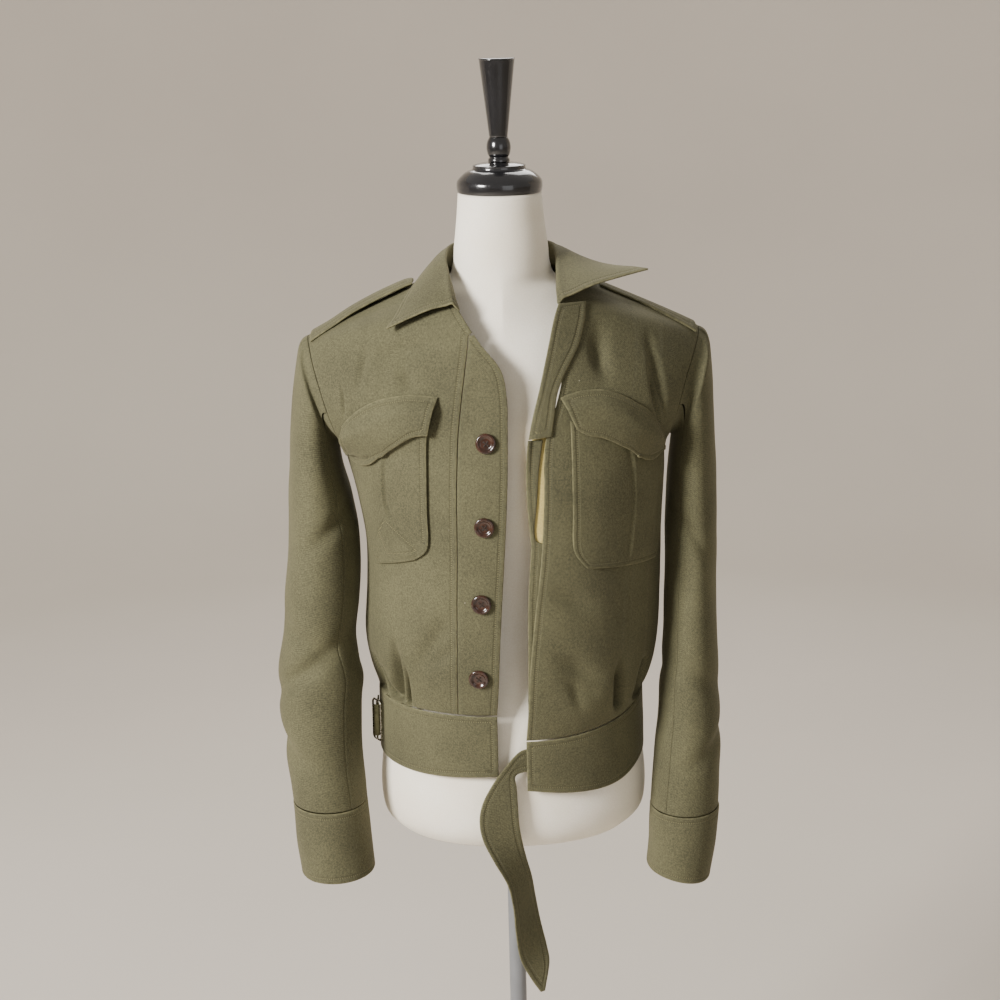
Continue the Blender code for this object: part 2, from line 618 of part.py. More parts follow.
def sleeve(side, column, row):
    """Row 0 is the armhole seam, row 1 the sleeve's first step, and the rings follow."""
    if row < 2:
        edge, run = armhole(side, column)
        level = TOP - abs(column) / 2
        clear = 0.0006 + 0.0012 * smooth((ARMPIT + 3 - level) / 2)
        return edge + run * (clear if row == 0 else clear + HEAD_LIFT)
    rings = RIGHT_SLEEVE if side == RIGHT else LEFT_SLEEVE
    t = SLEEVE_ROWS[row - 2]
    point, inward = ring_point(side, rings, t, column)
    end = smooth((len(rings) - 1 - t) / 0.8)
    return point + inward * crease_depth(side, column, point.z) * end


def cuff(side, column, row):
    rings = CUFF_RIGHT if side == RIGHT else CUFF_LEFT
    return ring_point(side, rings, row, column)[0]


# Collar, waistband, belt and shoulder straps


def neckline(s):
    """The neckline at a collar station, from the right front round the back to the left."""
    last = len(COLLAR) - 1
    quarter = last / 4
    if s < quarter:
        return front(RIGHT, TOP - 2 + 2 * s / quarter, 0)
    if s > last - quarter:
        return front(LEFT, TOP - 2 + 2 * (last - s) / quarter, 0)
    share = abs(s - last / 2) / (last / 2 - quarter) * NECK_POINT
    return neckline_back(RIGHT if s < last / 2 else LEFT, share)


COLLAR_COLUMNS = 6


def collar(s, column):
    """Across the collar: up the stand, over the fold line and down the fall."""
    values = spline([station.fold + station.edge for station in COLLAR], s)
    foot = neckline(s) + Vector((0, 0, LAY))
    fold, edge = Vector(values[:3]), Vector(values[3:])
    fall = edge - fold
    up = Vector((0, 0, 1))
    stand = (fold - foot).length
    across = [
        foot,
        foot.lerp(fold, 0.55),
        fold,
        fold + fall * 0.10 + up * 0.0012 * min(stand / 0.02, 1),
        fold + fall * 0.35 + up * 0.0030,
        fold + fall * 0.68 + up * 0.0020,
        edge,
    ]
    return across[column]


def band_front(side, share, part):
    top = front(side, 0, share)
    hem = HEM_RIGHT if side == RIGHT else HEM_LEFT
    drop = spline([(h,) for h in hem], share * (len(hem) - 1))[0]
    low = Vector((top.x * 1.008, top.y * 1.004, top.z - drop))
    point = top.lerp(low, part)
    return point - Vector((0, 0, TURN * (1 - part)))


def band_back(side, share, part):
    top = back(side, 0, share)
    drop = HEM_LEFT[-1] + (HEM_BACK - HEM_LEFT[-1]) * (1 - share)
    low = Vector((top.x * 1.008, top.y * 1.004, top.z - drop))
    point = top.lerp(low, part)
    return point - Vector((0, 0, TURN * (1 - part)))


def shoulder_tab(side, row, part):
    """A shoulder strap: row counts its table, part runs across it from -1, the front, to 1."""
    rows = TAB_RIGHT if side == RIGHT else TAB_LEFT
    tab = Tab(*spline(rows, row))
    neck, tip = neckline_back(side, NECK_POINT), neckline_back(side, 1)
    along = (tab.x - abs(neck.x)) / (abs(tip.x) - abs(neck.x))
    ridge = neck.lerp(tip, along)
    panel = front if part < 0 else back
    share = along if part < 0 else NECK_POINT + (1 - NECK_POINT) * along
    high, low = float(TOP), float(TOP - 3)
    for _ in range(16):
        t = (high + low) / 2
        if abs(panel(side, t, share).y - ridge.y) < abs(part) * tab.half_width:
            high = t
        else:
            low = t
    point = panel(side, (high + low) / 2, share)
    return Vector((ridge.x, point.y, point.z + LAY + SEAM + tab.rise * (1 - 0.5 * part * part)))


# Making the objects


def clear_scene():
    for old in list(bpy.data.objects):
        bpy.data.objects.remove(old, do_unlink=True)


def material(name):
    made = bpy.data.materials.get(name)
    if made is None:
        colour, roughness, metallic = COLOURS[name]
        made = bpy.data.materials.new(name)
        made.use_nodes = True
        shader = made.node_tree.nodes["Principled BSDF"]
        shader.inputs["Base Color"].default_value = colour
        shader.inputs["Roughness"].default_value = roughness
        shader.inputs["Metallic"].default_value = metallic
    return made


def add_object(name, data, finish):
    made = bpy.data.objects.new(name, data)
    data.materials.append(material(finish))
    COLLECTION.objects.link(made)
    return made


def cloth(name, columns, rows, place, middle, finish="wool_twill", closed=False, offset=-1.0, wall=WALL):
    """A sheet moved onto a surface, and given its wall on the side away from the eye.

    place(column, row) gives a corner, and middle(column, row) a point behind the cloth.
    """
    bm = bmesh.new()
    across, along = len(columns) - 1, len(rows) - 1
    bmesh.ops.create_grid(bm, x_segments=across, y_segments=along, size=1.0)
    behind = {}
    for corner in bm.verts:
        i = round((corner.co.x + 1) / 2 * across)
        k = round((corner.co.y + 1) / 2 * along)
        corner.co = place(columns[i], rows[k])
        behind[corner.index] = middle(columns[i], rows[k])
    bm.normal_update()
    facing = sum(
        face.normal.dot(face.calc_center_median() - behind[face.verts[0].index]) for face in bm.faces
    )
    if facing < 0:
        bmesh.ops.reverse_faces(bm, faces=bm.faces)
    if closed:
        bmesh.ops.remove_doubles(bm, verts=bm.verts, dist=0.00001)
    mesh = bpy.data.meshes.new(name)
    bm.to_mesh(mesh)
    bm.free()
    mesh.shade_smooth()
    made = add_object(name, mesh, finish)
    solidify = made.modifiers.new("Wall", "SOLIDIFY")
    solidify.thickness = wall
    solidify.offset = offset
    solidify.use_even_offset = True
    solidify.use_quality_normals = True
    return made


def spaced(start, end, count):
    return [start + (end - start) * i / (count - 1) for i in range(count)]


def axis_behind(place):
    """The point of the torso's axis that lies behind each point of a surface."""
    return lambda a, b: Vector((0, 0, place(a, b).z))


def build_torso():
    low, high = spaced(0, 1, 2)
    front_right = COLUMNS[RIGHT]

    def right_front(share, t):
        seam = stand_share(t) + (STAND_GAP if t <= STAND_TOP else 0)
        return front(RIGHT, t, seam + (1 - seam) * share if share < high else high)

    def stand(share, t):
        seam = stand_share(t) - STAND_GAP
        return front(RIGHT, t, seam * share)

    def left_front(share, t):
        return front(LEFT, t, share)

    def whole_back(share, t):
        side = RIGHT if share < 0 else LEFT
        return back(side, t, abs(share))

    def gap(place, toward):
        """The same surface, drawn back from a seam by half the gap."""

        def drawn(share, t):
            point = place(share, t)
            if abs(share) < 0.99 and t < TOP:
                return point
            return point + Vector((0, toward * SEAM * (1.8 if 5 < t < 9 else 0.5), 0))

        return drawn

    stand_rows = [t for t in ROWS if t <= STAND_TOP]
    cloth("front_right", front_right, ROWS, gap(right_front, -1), axis_behind(right_front))
    cloth("front_left", COLUMNS[LEFT], ROWS, gap(left_front, -1), axis_behind(left_front))
    cloth("button_stand_right", [low, 0.33, 0.67, high], stand_rows, stand, axis_behind(stand))
    both = [-share for share in reversed(BACK_SHARES[1:])] + BACK_SHARES
    cloth("back_panel", both, BACK_ROWS, gap(whole_back, 1), axis_behind(whole_back))


def build_sleeves():
    half_gap, border = 0.014, 0.16  # of a column: half the seam's gap, and the strip beside it
    for side, word in ((RIGHT, "right"), (LEFT, "left")):
        rows = list(range(len(SLEEVE_ROWS) + 2))

        def place(column, row, side=side):
            off = column - round(column)
            if row < 4 and abs(off) < border / 2:
                column += 8 * off
            whole = column
            if abs(column) > AROUND:
                whole = column - 2 * AROUND * math.copysign(1, column)
            if row < 2:
                low, high = math.floor(whole), math.ceil(whole)
                return sleeve(side, low, row).lerp(sleeve(side, high, row), whole - low)
            return sleeve(side, whole, row)

        def middle(column, row, side=side):
            points = [sleeve(side, c, max(row, 2)) for c in (0, AROUND)]
            return (points[0] + points[1]) / 2

        under_end = 2 * AROUND - SLEEVE_SEAM
        top, under = (
            [start + half_gap, start + border, *range(start + 1, end), end - border, end - half_gap]
            for start, end in ((-SLEEVE_SEAM, SLEEVE_SEAM), (SLEEVE_SEAM, under_end))
        )
        cloth("top_sleeve_" + word, top, rows, place, middle)
        cloth("under_sleeve_" + word, under, rows, place, middle)
        around = list(range(2 * AROUND + 1))
        cloth(
            "cuff_" + word,
            around,
            CUFF_ROWS,
            lambda c, r, side=side: cuff(side, c, r),
            lambda c, r, side=side: (cuff(side, 0, r) + cuff(side, AROUND, r)) / 2,
            closed=True,
        )


def build_waistband():
    parts = [0, 0.5, 1]

    def whole_back(share, part):
        return band_back(RIGHT if share < 0 else LEFT, abs(share), part)

    def shifted(place, toward):
        def drawn(share, part):
            point = place(share, part)
            return point + Vector((0, toward * SEAM / 2, 0)) if abs(share) == 1 else point

        return drawn

    for side, word in ((RIGHT, "right"), (LEFT, "left")):
        place = shifted(lambda s, p, side=side: band_front(side, s, p), -1)
        cloth("waistband_front_" + word, COLUMNS[side], parts, place, lambda s, p: Vector((0, 0, 0.8)))
    both = [-share for share in reversed(BACK_SHARES[1:])] + BACK_SHARES
    cloth("waistband_back", both, parts, shifted(whole_back, 1), lambda s, p: Vector((0, 0, 0.8)))


def build_collar():
    stations = spaced(0, len(COLLAR) - 1, 25)
    cloth(
        "collar",
        stations,
        list(range(COLLAR_COLUMNS + 1)),
        collar,
        lambda s, c: (collar(s, 0) + collar(s, COLLAR_COLUMNS)) / 2 - Vector((0, 0, 0.02)),
        offset=1.0,
    )


def patch_place(side, rows, lift):
    """A patch on a front: share runs across it, and row counts its table."""

    def place(share, row):
        x1, z1, x2, z2 = spline(rows, row)
        raised = lift(share, row) if callable(lift) else lift
        return on_front(side, x1 + (x2 - x1) * share, z1 + (z2 - z1) * share, raised)

    return place


def behind_front(point_of):
    return lambda a, b: point_of(a, b) + Vector((0, 0.05, 0))


def build_fronts_trim():
    on_top = LAY + WALL
    fly_under = -WALL - LAY

    def fly_lift(share, row):
        top = smooth((row - 6.0) / 2.0)
        return fly_under * (1 - top * (1 - smooth(share / 0.5)))

    def lapel_lift(share, row):
        return (on_top + SEAM) * smooth(0.12 + share * 2.0 + row * 0.25)

    fly = patch_place(LEFT, FLY, fly_lift)
    cloth("fly_strip_left", spaced(0, 1, 4), list(range(len(FLY))), fly, behind_front(fly))
    lining = patch_place(LEFT, LINING, 2 * fly_under)
    lining_rows = list(range(len(LINING)))
    cloth("lining_strip_left", spaced(0, 1, 4), lining_rows, lining, behind_front(lining), "lining_cloth")
    lapel = patch_place(LEFT, LAPEL, lapel_lift)
    cloth("lapel_left", spaced(0, 1, 6), spaced(0, len(LAPEL) - 1, 16), lapel, behind_front(lapel))

    for side, word, pocket_rows, flap_columns in (
        (RIGHT, "right", POCKET_RIGHT, FLAP_RIGHT),
        (LEFT, "left", POCKET_LEFT, FLAP_LEFT),
    ):
        pleat = PLEAT_X[side]

        def pocket_lift(share, row, rows=pocket_rows, pleat=pleat):
            x1, _, x2, _ = spline(rows, row)
            past = (abs(x1 + (x2 - x1) * share) - abs(pleat)) / 0.004
            return on_top + 3 * SEAM + PLEAT_RISE * smooth(past)

        pocket = patch_place(side, pocket_rows, pocket_lift)
        shares = [0, 0.2, 0.4, 0.48, 0.55, 0.68, 0.82, 0.92, 1]
        cloth("pocket_" + word, shares, spaced(0, len(pocket_rows) - 1, 14), pocket, behind_front(pocket))

        def flap(column, share, columns=flap_columns, side=side):
            x1, z1, x2, z2 = spline(columns, column)
            lift = on_top + (on_top + FLAP_GAP + PLEAT_RISE) * smooth((1 - share) / 0.4)
            return on_front(side, x1 + (x2 - x1) * share, z1 + (z2 - z1) * share, lift)

        columns = spaced(0, len(flap_columns) - 1, 18)
        cloth("pocket_flap_" + word, columns, spaced(0, 1, 5), flap, behind_front(flap))


def build_straps():
    for side, word in ((RIGHT, "right"), (LEFT, "left")):
        rows = TAB_RIGHT if side == RIGHT else TAB_LEFT
        cloth(
            "shoulder_strap_" + word,
            spaced(0, len(rows) - 1, 10),
            spaced(-1, 1, 5),
            lambda row, part, side=side: shoulder_tab(side, row, part),
            lambda row, part, side=side: shoulder_tab(side, row, 0) - Vector((0, 0, 0.05)),
            offset=1.0,
        )

    def belt(share, row):
        x1, y1, z1, x2, y2, z2 = spline(STRAP, row)
        return Vector((x1, y1, z1)).lerp(Vector((x2, y2, z2)), share)

    cloth(
        "belt_end",
        spaced(0, 1, 4),
        spaced(0, len(STRAP) - 1, 27),
        belt,
        lambda share, row: belt(share, row) + Vector((0, 0.05, 0)),
    )


def turned(name, profile, finish, place=None, steps=24):
    """A profile of (radius, height) from the top of the axis down its outer side, turned."""
    mesh = bpy.data.meshes.new(name)
    points = [(radius, 0, height) for radius, height in profile]
    mesh.from_pydata(points, [(i, i + 1) for i in range(len(points) - 1)], [])
    made = add_object(name, mesh, finish)
    screw = made.modifiers.new("Turn", "SCREW")
    screw.steps = screw.render_steps = steps
    screw.use_merge_vertices = True
    screw.merge_threshold = 0.00001
    screw.use_smooth_shade = True
    if place is not None:
        made.matrix_world = place
    return made


def facing(point, normal):
    """The place of a turned piece whose axis points along a normal."""
    turn = Vector((0, 0, 1)).rotation_difference(normal).to_matrix().to_4x4()
    turn.translation = point
    return turn


def build_buttons():
    radius = BUTTON_RADIUS
    profile = [
        (0, 0.0024),
        (radius * 0.52, 0.0022),
        (radius * 0.66, 0.0036),
        (radius * 0.84, 0.0042),
        (radius * 0.97, 0.0034),
        (radius, 0.0022),
        (radius * 0.80, 0.0004),
        (0, 0),
    ]
    for number, (x, z) in enumerate(BUTTON_PLACES, 1):
        low = on_front(RIGHT, x, z, 0)
        high = on_front(RIGHT, x, z, 0.01)
        normal = (high - low).normalized()
        turned("button_%d" % number, profile, "button_plastic", facing(low + normal * SEAM * 2, normal), 12)


BUCKLE_SHARE = 0.84  # where round the right waistband the buckle hangs
BUCKLE_PART = 0.46  # and how far down it
BUCKLE_WIRE = 0.0013
TAB_WIDTH = 0.038
BUCKLE_HALF = (0.0085, 0.0245)  # half width round the waist, half height


def buckle_frame():
    """The buckle's middle, the way round the waist towards the back, up, and outwards."""
    middle = band_front(RIGHT, BUCKLE_SHARE, BUCKLE_PART)
    further = band_front(RIGHT, BUCKLE_SHARE + 0.04, BUCKLE_PART)
    higher = band_front(RIGHT, BUCKLE_SHARE, BUCKLE_PART / 2)
    round_way = (further - middle).normalized()
    up = (higher - middle).normalized()
    out = round_way.cross(up).normalized()
    if out.x > 0:
        out = -out
    return middle, round_way, up, out


def wire(name, points, radius, finish, closed=False):
    curve = bpy.data.curves.new(name, "CURVE")
    curve.dimensions = "3D"
    curve.bevel_depth = radius
    curve.bevel_resolution = 1
    curve.use_fill_caps = True
    line = curve.splines.new("POLY")
    line.points.add(len(points) - 1)
    for point, place in zip(line.points, points):
        point.co = (*place, 1)
    line.use_cyclic_u = closed
    return add_object(name, curve, finish)


def build_buckle():
    middle, round_way, up, out = buckle_frame()
    half_wide, half_high = BUCKLE_HALF
    bar_out = 0.0062
    lean = 0.35  # the rear rail stands further out than the front one

    def at(along, height, lift):
        return middle + round_way * along + up * height + out * (bar_out + lift + lean * along)

    corner = 0.003
    loop = []
    for sign_a, sign_h in ((1, 1), (-1, 1), (-1, -1), (1, -1)):
        first = (half_wide * sign_a, (half_high - corner) * sign_h)
        second = ((half_wide - corner) * sign_a, half_high * sign_h)
        pair = (first, second) if sign_a * sign_h > 0 else (second, first)
        loop += [at(a, h, 0) for a, h in pair]
    wire("buckle_frame", loop, BUCKLE_WIRE, "buckle_steel", closed=True)
    gap = BUCKLE_WIRE + SEAM
    wire("buckle_bar", [at(0, half_high - gap, 0), at(0, -half_high + gap, 0)], BUCKLE_WIRE, "buckle_steel")

    radius = BUCKLE_WIRE + WALL + 2 * SEAM
    width = (band_front(RIGHT, 1, BUCKLE_PART) - middle).length / (1 - BUCKLE_SHARE)

    def tab(step, share):
        height = (share - 0.5) * TAB_WIDTH
        if step <= 2:
            along = 0.030 - step * 0.013
            seat = band_front(RIGHT, BUCKLE_SHARE + along / width, BUCKLE_PART)
            lift = 2 * SEAM
            lift += (bar_out - radius - lift) * smooth(step / 2.5)
            return seat + up * height + out * lift
        turn = (step - 3) / 5 * math.pi
        ahead = -math.sin(turn) * radius
        lift = bar_out - math.cos(turn) * radius
        return middle + round_way * ahead + up * height + out * lift

    def tab_middle(step, share):
        height = (share - 0.5) * TAB_WIDTH
        return middle + up * height + out * bar_out + round_way * WALL

    cloth("buckle_tab", list(range(9)), [0, 0.5, 1], tab, tab_middle, wall=WALL)


def build_form():
    bm = bmesh.new()
    bmesh.ops.create_uvsphere(bm, u_segments=FORM_SIDES, v_segments=len(FORM) + 1, radius=1.0)
    for corner in bm.verts:
        ring = round(math.acos(max(min(corner.co.z, 1), -1)) / math.pi * (len(FORM) + 1))
        if ring == 0:
            corner.co = (0, 0, FORM_TOP)
        elif ring == len(FORM) + 1:
            corner.co = (0, 0, FORM_BOTTOM)
        else:
            row = FORM[ring - 1]
            angle = math.atan2(corner.co.y, corner.co.x)
            cosine, sine = math.cos(angle), math.sin(angle)
            deep = row.back if sine > 0 else row.front
            bend = 2 / row.power
            x = math.copysign(abs(cosine) ** bend, cosine) * row.half_width
            y = math.copysign(abs(sine) ** bend, sine) * deep
            corner.co = (x, y, row.z)
    mesh = bpy.data.meshes.new("form_body")
    bm.to_mesh(mesh)
    bm.free()
    mesh.shade_smooth()
    add_object("form_body", mesh, "form_jersey")


def build_stand():
    cap = FORM_TOP + SEAM
    turned(
        "neck_cap",
        [
            (0, cap + 0.0330),
            (0.018, cap + 0.0325),
            (0.0285, cap + 0.0300),
            (0.0300, cap + 0.0255),
            (0.0400, cap + 0.0205),
            (0.0465, cap + 0.0140),
            (0.0478, cap + 0.0080),
            (0.0470, cap + 0.0015),
            (0.0455, cap),
            (0, cap),
        ],
        "black_lacquer",
        steps=24,
    )
    foot = cap + 0.0333
    turned(
        "finial",
        [
            (0, FINIAL_TOP),
            (0.0180, FINIAL_TOP - 0.0008),
            (0.0196, FINIAL_TOP - 0.0030),
            (0.0190, FINIAL_TOP - 0.0080),
            (0.0104, foot + 0.0290),
            (0.0100, foot + 0.0270),
            (0.0125, foot + 0.0220),
            (0.0135, foot + 0.0150),
            (0.0122, foot + 0.0080),
            (0.0104, foot + 0.0050),
            (0.0118, foot + 0.0030),
            (0.0120, foot),
            (0, foot),
        ],
        "black_lacquer",
        steps=16,
    )
    top = 0.014
    turned(
        "base",
        [
            (0, top + 0.012),
            (0.020, top + 0.012),
            (0.0225, top + 0.010),
            (0.024, top),
            (BASE_RADIUS - 0.004, 0.0080),
            (BASE_RADIUS, 0.0050),
            (BASE_RADIUS, 0.0015),
            (BASE_RADIUS - 0.0015, 0),
            (0, 0),
        ],
        "stand_steel",
        steps=24,
    )
    pole_foot, pole_top = top + 0.012 + SEAM, FORM_BOTTOM - SEAM
    turned(
        "pole",
        [(0, pole_top), (POLE_RADIUS, pole_top), (POLE_RADIUS, pole_foot), (0, pole_foot)],
        "stand_steel",
        steps=16,
    )


clear_scene()
COLLECTION = bpy.data.collections.new("battledress_jacket_on_form")
bpy.context.scene.collection.children.link(COLLECTION)
build_torso()
build_sleeves()
build_waistband()
build_collar()
build_fronts_trim()
build_straps()
build_buttons()
build_buckle()
build_form()
build_stand()
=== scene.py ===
"""The looks of a short battledress-style jacket that hangs open on a limbless dress form.

Metres, +Z up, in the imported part's frame: the jacket faces -Y, so the wearer's left is at +X.
Every cloth piece is a fine sheet drawn over the same surfaces as the part's solids, with its
folds, turned edges and stitching added. The rigid pieces are turned and bent by bmesh.
"""

import logging
import math
from collections import namedtuple
from dataclasses import dataclass, field
from enum import Enum, IntEnum
from typing import Callable, Optional, Sequence

import bmesh
import bpy
from mathutils import Euler, Matrix, Vector, noise


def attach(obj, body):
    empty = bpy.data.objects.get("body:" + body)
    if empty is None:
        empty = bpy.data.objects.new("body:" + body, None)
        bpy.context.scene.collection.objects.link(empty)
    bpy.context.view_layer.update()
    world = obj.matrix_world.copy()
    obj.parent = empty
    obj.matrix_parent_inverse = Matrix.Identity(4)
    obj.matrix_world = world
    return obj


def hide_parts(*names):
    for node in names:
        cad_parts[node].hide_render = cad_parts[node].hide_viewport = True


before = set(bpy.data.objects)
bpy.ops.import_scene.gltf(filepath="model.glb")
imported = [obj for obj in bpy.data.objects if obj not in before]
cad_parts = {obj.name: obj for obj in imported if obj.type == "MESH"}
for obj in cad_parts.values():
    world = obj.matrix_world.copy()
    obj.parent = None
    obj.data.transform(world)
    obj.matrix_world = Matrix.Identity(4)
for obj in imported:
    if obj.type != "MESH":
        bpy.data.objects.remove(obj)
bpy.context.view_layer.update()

LOG = logging.getLogger("jacket")
Place = Callable[[float, float], Vector]


class Side(IntEnum):
    """The wearer's sides, and the sign of x there."""

    RIGHT = -1
    LEFT = 1


class Face(IntEnum):
    """The two faces of the torso, and the sign of y there."""

    FRONT = -1
    BACK = 1


RIGHT, LEFT = Side.RIGHT, Side.LEFT
FRONT, BACK = Face.FRONT, Face.BACK

# Sizes shared by all cloth pieces
WALL = 0.002  # cloth with its turned-in edges
SEAM = 0.0003  # between pieces that meet edge to edge
TURN = 0.0012  # between panels and the band sewn across their ends
LAY = 0.0009  # between a piece and the panel that it lies on
NECK_POINT = 0.30  # share of the back's half width that the neckline takes
# The torso's levels, from the waist seam up to the shoulder seam. The outer points run up the
# side seam to the armpit and then round the armhole.
Outer = namedtuple("Outer", "x_right x_left y z roundness")
FRONT_OUTER = [
    Outer(0.1560, 0.1550, 0.000, 0.834, 1.00),  # waist seam
    Outer(0.1650, 0.1680, 0.000, 0.868, 1.00),  # tuck tops
    Outer(0.1690, 0.1740, 0.000, 0.905, 1.00),  # fullest
    Outer(0.1650, 0.1760, 0.000, 0.960, 1.00),
    Outer(0.1640, 0.1775, 0.000, 1.015, 1.00),
    Outer(0.1720, 0.1785, 0.000, 1.068, 1.00),
    Outer(0.1810, 0.1810, -0.002, 1.108, 1.00),  # just under the armpit
    Outer(0.1850, 0.1840, -0.003, 1.120, 0.95),  # armpit
    Outer(0.1880, 0.1850, -0.050, 1.140, 0.75),
    Outer(0.1970, 0.1930, -0.064, 1.172, 0.55),
    Outer(0.2060, 0.2020, -0.056, 1.202, 0.45),
    Outer(0.2130, 0.2110, -0.040, 1.224, 0.35),
    Outer(0.2175, 0.2175, -0.021, 1.239, 0.25),
    Outer(0.2195, 0.2200, -0.009, 1.246, 0.12),
    Outer(0.2200, 0.2210, 0.003, 1.249, 0.00),  # shoulder tip
]
Edge = namedtuple("Edge", "x y z")
RIGHT_EDGE = [
    Edge(-0.0170, -0.126, 0.834),
    Edge(-0.0145, -0.133, 0.868),
    Edge(-0.0125, -0.137, 0.905),
    Edge(-0.0090, -0.139, 0.960),
    Edge(-0.0050, -0.140, 1.015),
    Edge(-0.0015, -0.141, 1.068),
    Edge(0.0005, -0.140, 1.105),
    Edge(0.0015, -0.138, 1.135),
    Edge(0.0020, -0.135, 1.165),
    Edge(0.0020, -0.131, 1.197),
    Edge(-0.0040, -0.125, 1.228),
    Edge(-0.0260, -0.114, 1.256),
    Edge(-0.0470, -0.096, 1.288),  # foot of the collar
    Edge(-0.0560, -0.050, 1.309),
    Edge(-0.0640, 0.003, 1.319),  # neck point
]
LEFT_EDGE = [
    Edge(0.0150, -0.126, 0.803),
    Edge(0.0180, -0.133, 0.840),
    Edge(0.0205, -0.137, 0.885),
    Edge(0.0270, -0.139, 0.950),
    Edge(0.0345, -0.140, 1.010),
    Edge(0.0385, -0.140, 1.062),
    Edge(0.0400, -0.139, 1.100),
    Edge(0.0405, -0.137, 1.128),
    Edge(0.0440, -0.134, 1.158),
    Edge(0.0540, -0.130, 1.186),
    Edge(0.0620, -0.122, 1.218),
    Edge(0.0640, -0.112, 1.252),
    Edge(0.0600, -0.094, 1.292),
    Edge(0.0600, -0.050, 1.309),
    Edge(0.0640, 0.003, 1.319),
]
BACK_ARMHOLE = [
    Outer(0.1850, 0.1840, 0.003, 1.120, 0.95),
    Outer(0.1880, 0.1850, 0.052, 1.136, 0.80),
    Outer(0.1950, 0.1910, 0.074, 1.168, 0.65),
    Outer(0.2020, 0.1980, 0.074, 1.198, 0.55),
    Outer(0.2100, 0.2070, 0.058, 1.221, 0.45),
    Outer(0.2160, 0.2150, 0.036, 1.238, 0.35),
    Outer(0.2190, 0.2195, 0.018, 1.246, 0.15),
    Outer(0.2200, 0.2210, 0.003, 1.249, 0.00),
]
Spine = namedtuple("Spine", "y z")
SPINE = [
    Spine(0.106, 0.836),
    Spine(0.117, 0.868),
    Spine(0.122, 0.905),
    Spine(0.121, 0.960),
    Spine(0.119, 1.015),
    Spine(0.119, 1.068),
    Spine(0.120, 1.108),
    Spine(0.121, 1.130),
    Spine(0.121, 1.158),
    Spine(0.120, 1.188),
    Spine(0.116, 1.218),
    Spine(0.108, 1.248),
    Spine(0.094, 1.276),
    Spine(0.078, 1.298),
    Spine(0.062, 1.312),  # back of the neckline
]
ARMPIT = 7
TOP = len(FRONT_OUTER) - 1
# Folds in the torso: (x, z) of both ends as seen from the front, half width, depth inwards.
Fold = namedtuple("Fold", "side face x1 z1 x2 z2 width depth")
FOLDS = [
    Fold(LEFT, FRONT, 0.1585, 1.222, 0.1690, 1.160, 0.0060, 0.0075),  # sharp drapes above the pockets
    Fold(LEFT, FRONT, 0.0960, 1.255, 0.1130, 1.212, 0.0090, 0.0050),
    Fold(RIGHT, FRONT, -0.1790, 1.205, -0.1775, 1.172, 0.0060, 0.0055),
    Fold(RIGHT, FRONT, -0.1500, 1.245, -0.1610, 1.205, 0.0080, 0.0040),
    Fold(RIGHT, FRONT, -0.1130, 1.225, -0.0980, 1.205, 0.0090, 0.0040),
    Fold(LEFT, FRONT, 0.0520, 0.880, 0.0940, 0.852, 0.0070, 0.0045),
    Fold(LEFT, FRONT, 0.0660, 0.868, 0.0800, 0.838, 0.0070, 0.0035),
    Fold(RIGHT, FRONT, -0.0600, 0.918, -0.0950, 0.888, 0.0080, 0.0045),
    Fold(RIGHT, FRONT, -0.1375, 0.834, -0.1500, 0.872, 0.0042, 0.0140),  # crisp edges of the tucks
    Fold(RIGHT, FRONT, -0.1190, 0.834, -0.1215, 0.884, 0.0042, 0.0150),
    Fold(LEFT, FRONT, 0.1215, 0.832, 0.1235, 0.866, 0.0040, 0.0140),
    Fold(LEFT, FRONT, 0.1440, 0.832, 0.1550, 0.872, 0.0040, 0.0140),
    Fold(RIGHT, FRONT, -0.150, 0.836, -0.160, 0.882, 0.0070, 0.0150),  # waist tucks
    Fold(RIGHT, FRONT, -0.131, 0.836, -0.132, 0.908, 0.0072, 0.0170),
    Fold(LEFT, FRONT, 0.124, 0.834, 0.124, 0.890, 0.0072, 0.0160),
    Fold(LEFT, FRONT, 0.147, 0.832, 0.155, 0.876, 0.0070, 0.0150),
    Fold(RIGHT, BACK, -0.125, 0.832, -0.122, 0.900, 0.0060, 0.0090),
    Fold(RIGHT, BACK, -0.080, 0.832, -0.076, 0.895, 0.0060, 0.0080),
    Fold(LEFT, BACK, 0.125, 0.832, 0.120, 0.895, 0.0060, 0.0090),
    Fold(LEFT, BACK, 0.080, 0.832, 0.077, 0.905, 0.0060, 0.0080),
    Fold(LEFT, FRONT, 0.158, 1.248, 0.177, 1.165, 0.0100, 0.0093),  # drapes by the armholes
    Fold(LEFT, FRONT, 0.101, 1.270, 0.108, 1.215, 0.0120, 0.0068),
    Fold(RIGHT, FRONT, -0.075, 1.250, -0.150, 1.232, 0.0120, 0.0059),
    Fold(RIGHT, FRONT, -0.066, 0.950, -0.108, 0.885, 0.0110, 0.0059),
    Fold(LEFT, FRONT, 0.050, 0.905, 0.100, 0.868, 0.0110, 0.0068),
    Fold(LEFT, FRONT, 0.045, 0.985, 0.095, 0.955, 0.0100, 0.0051),
    Fold(RIGHT, BACK, -0.165, 1.160, -0.120, 1.060, 0.0130, 0.0085),
    Fold(LEFT, BACK, 0.168, 1.165, 0.118, 1.055, 0.0130, 0.0085),
]

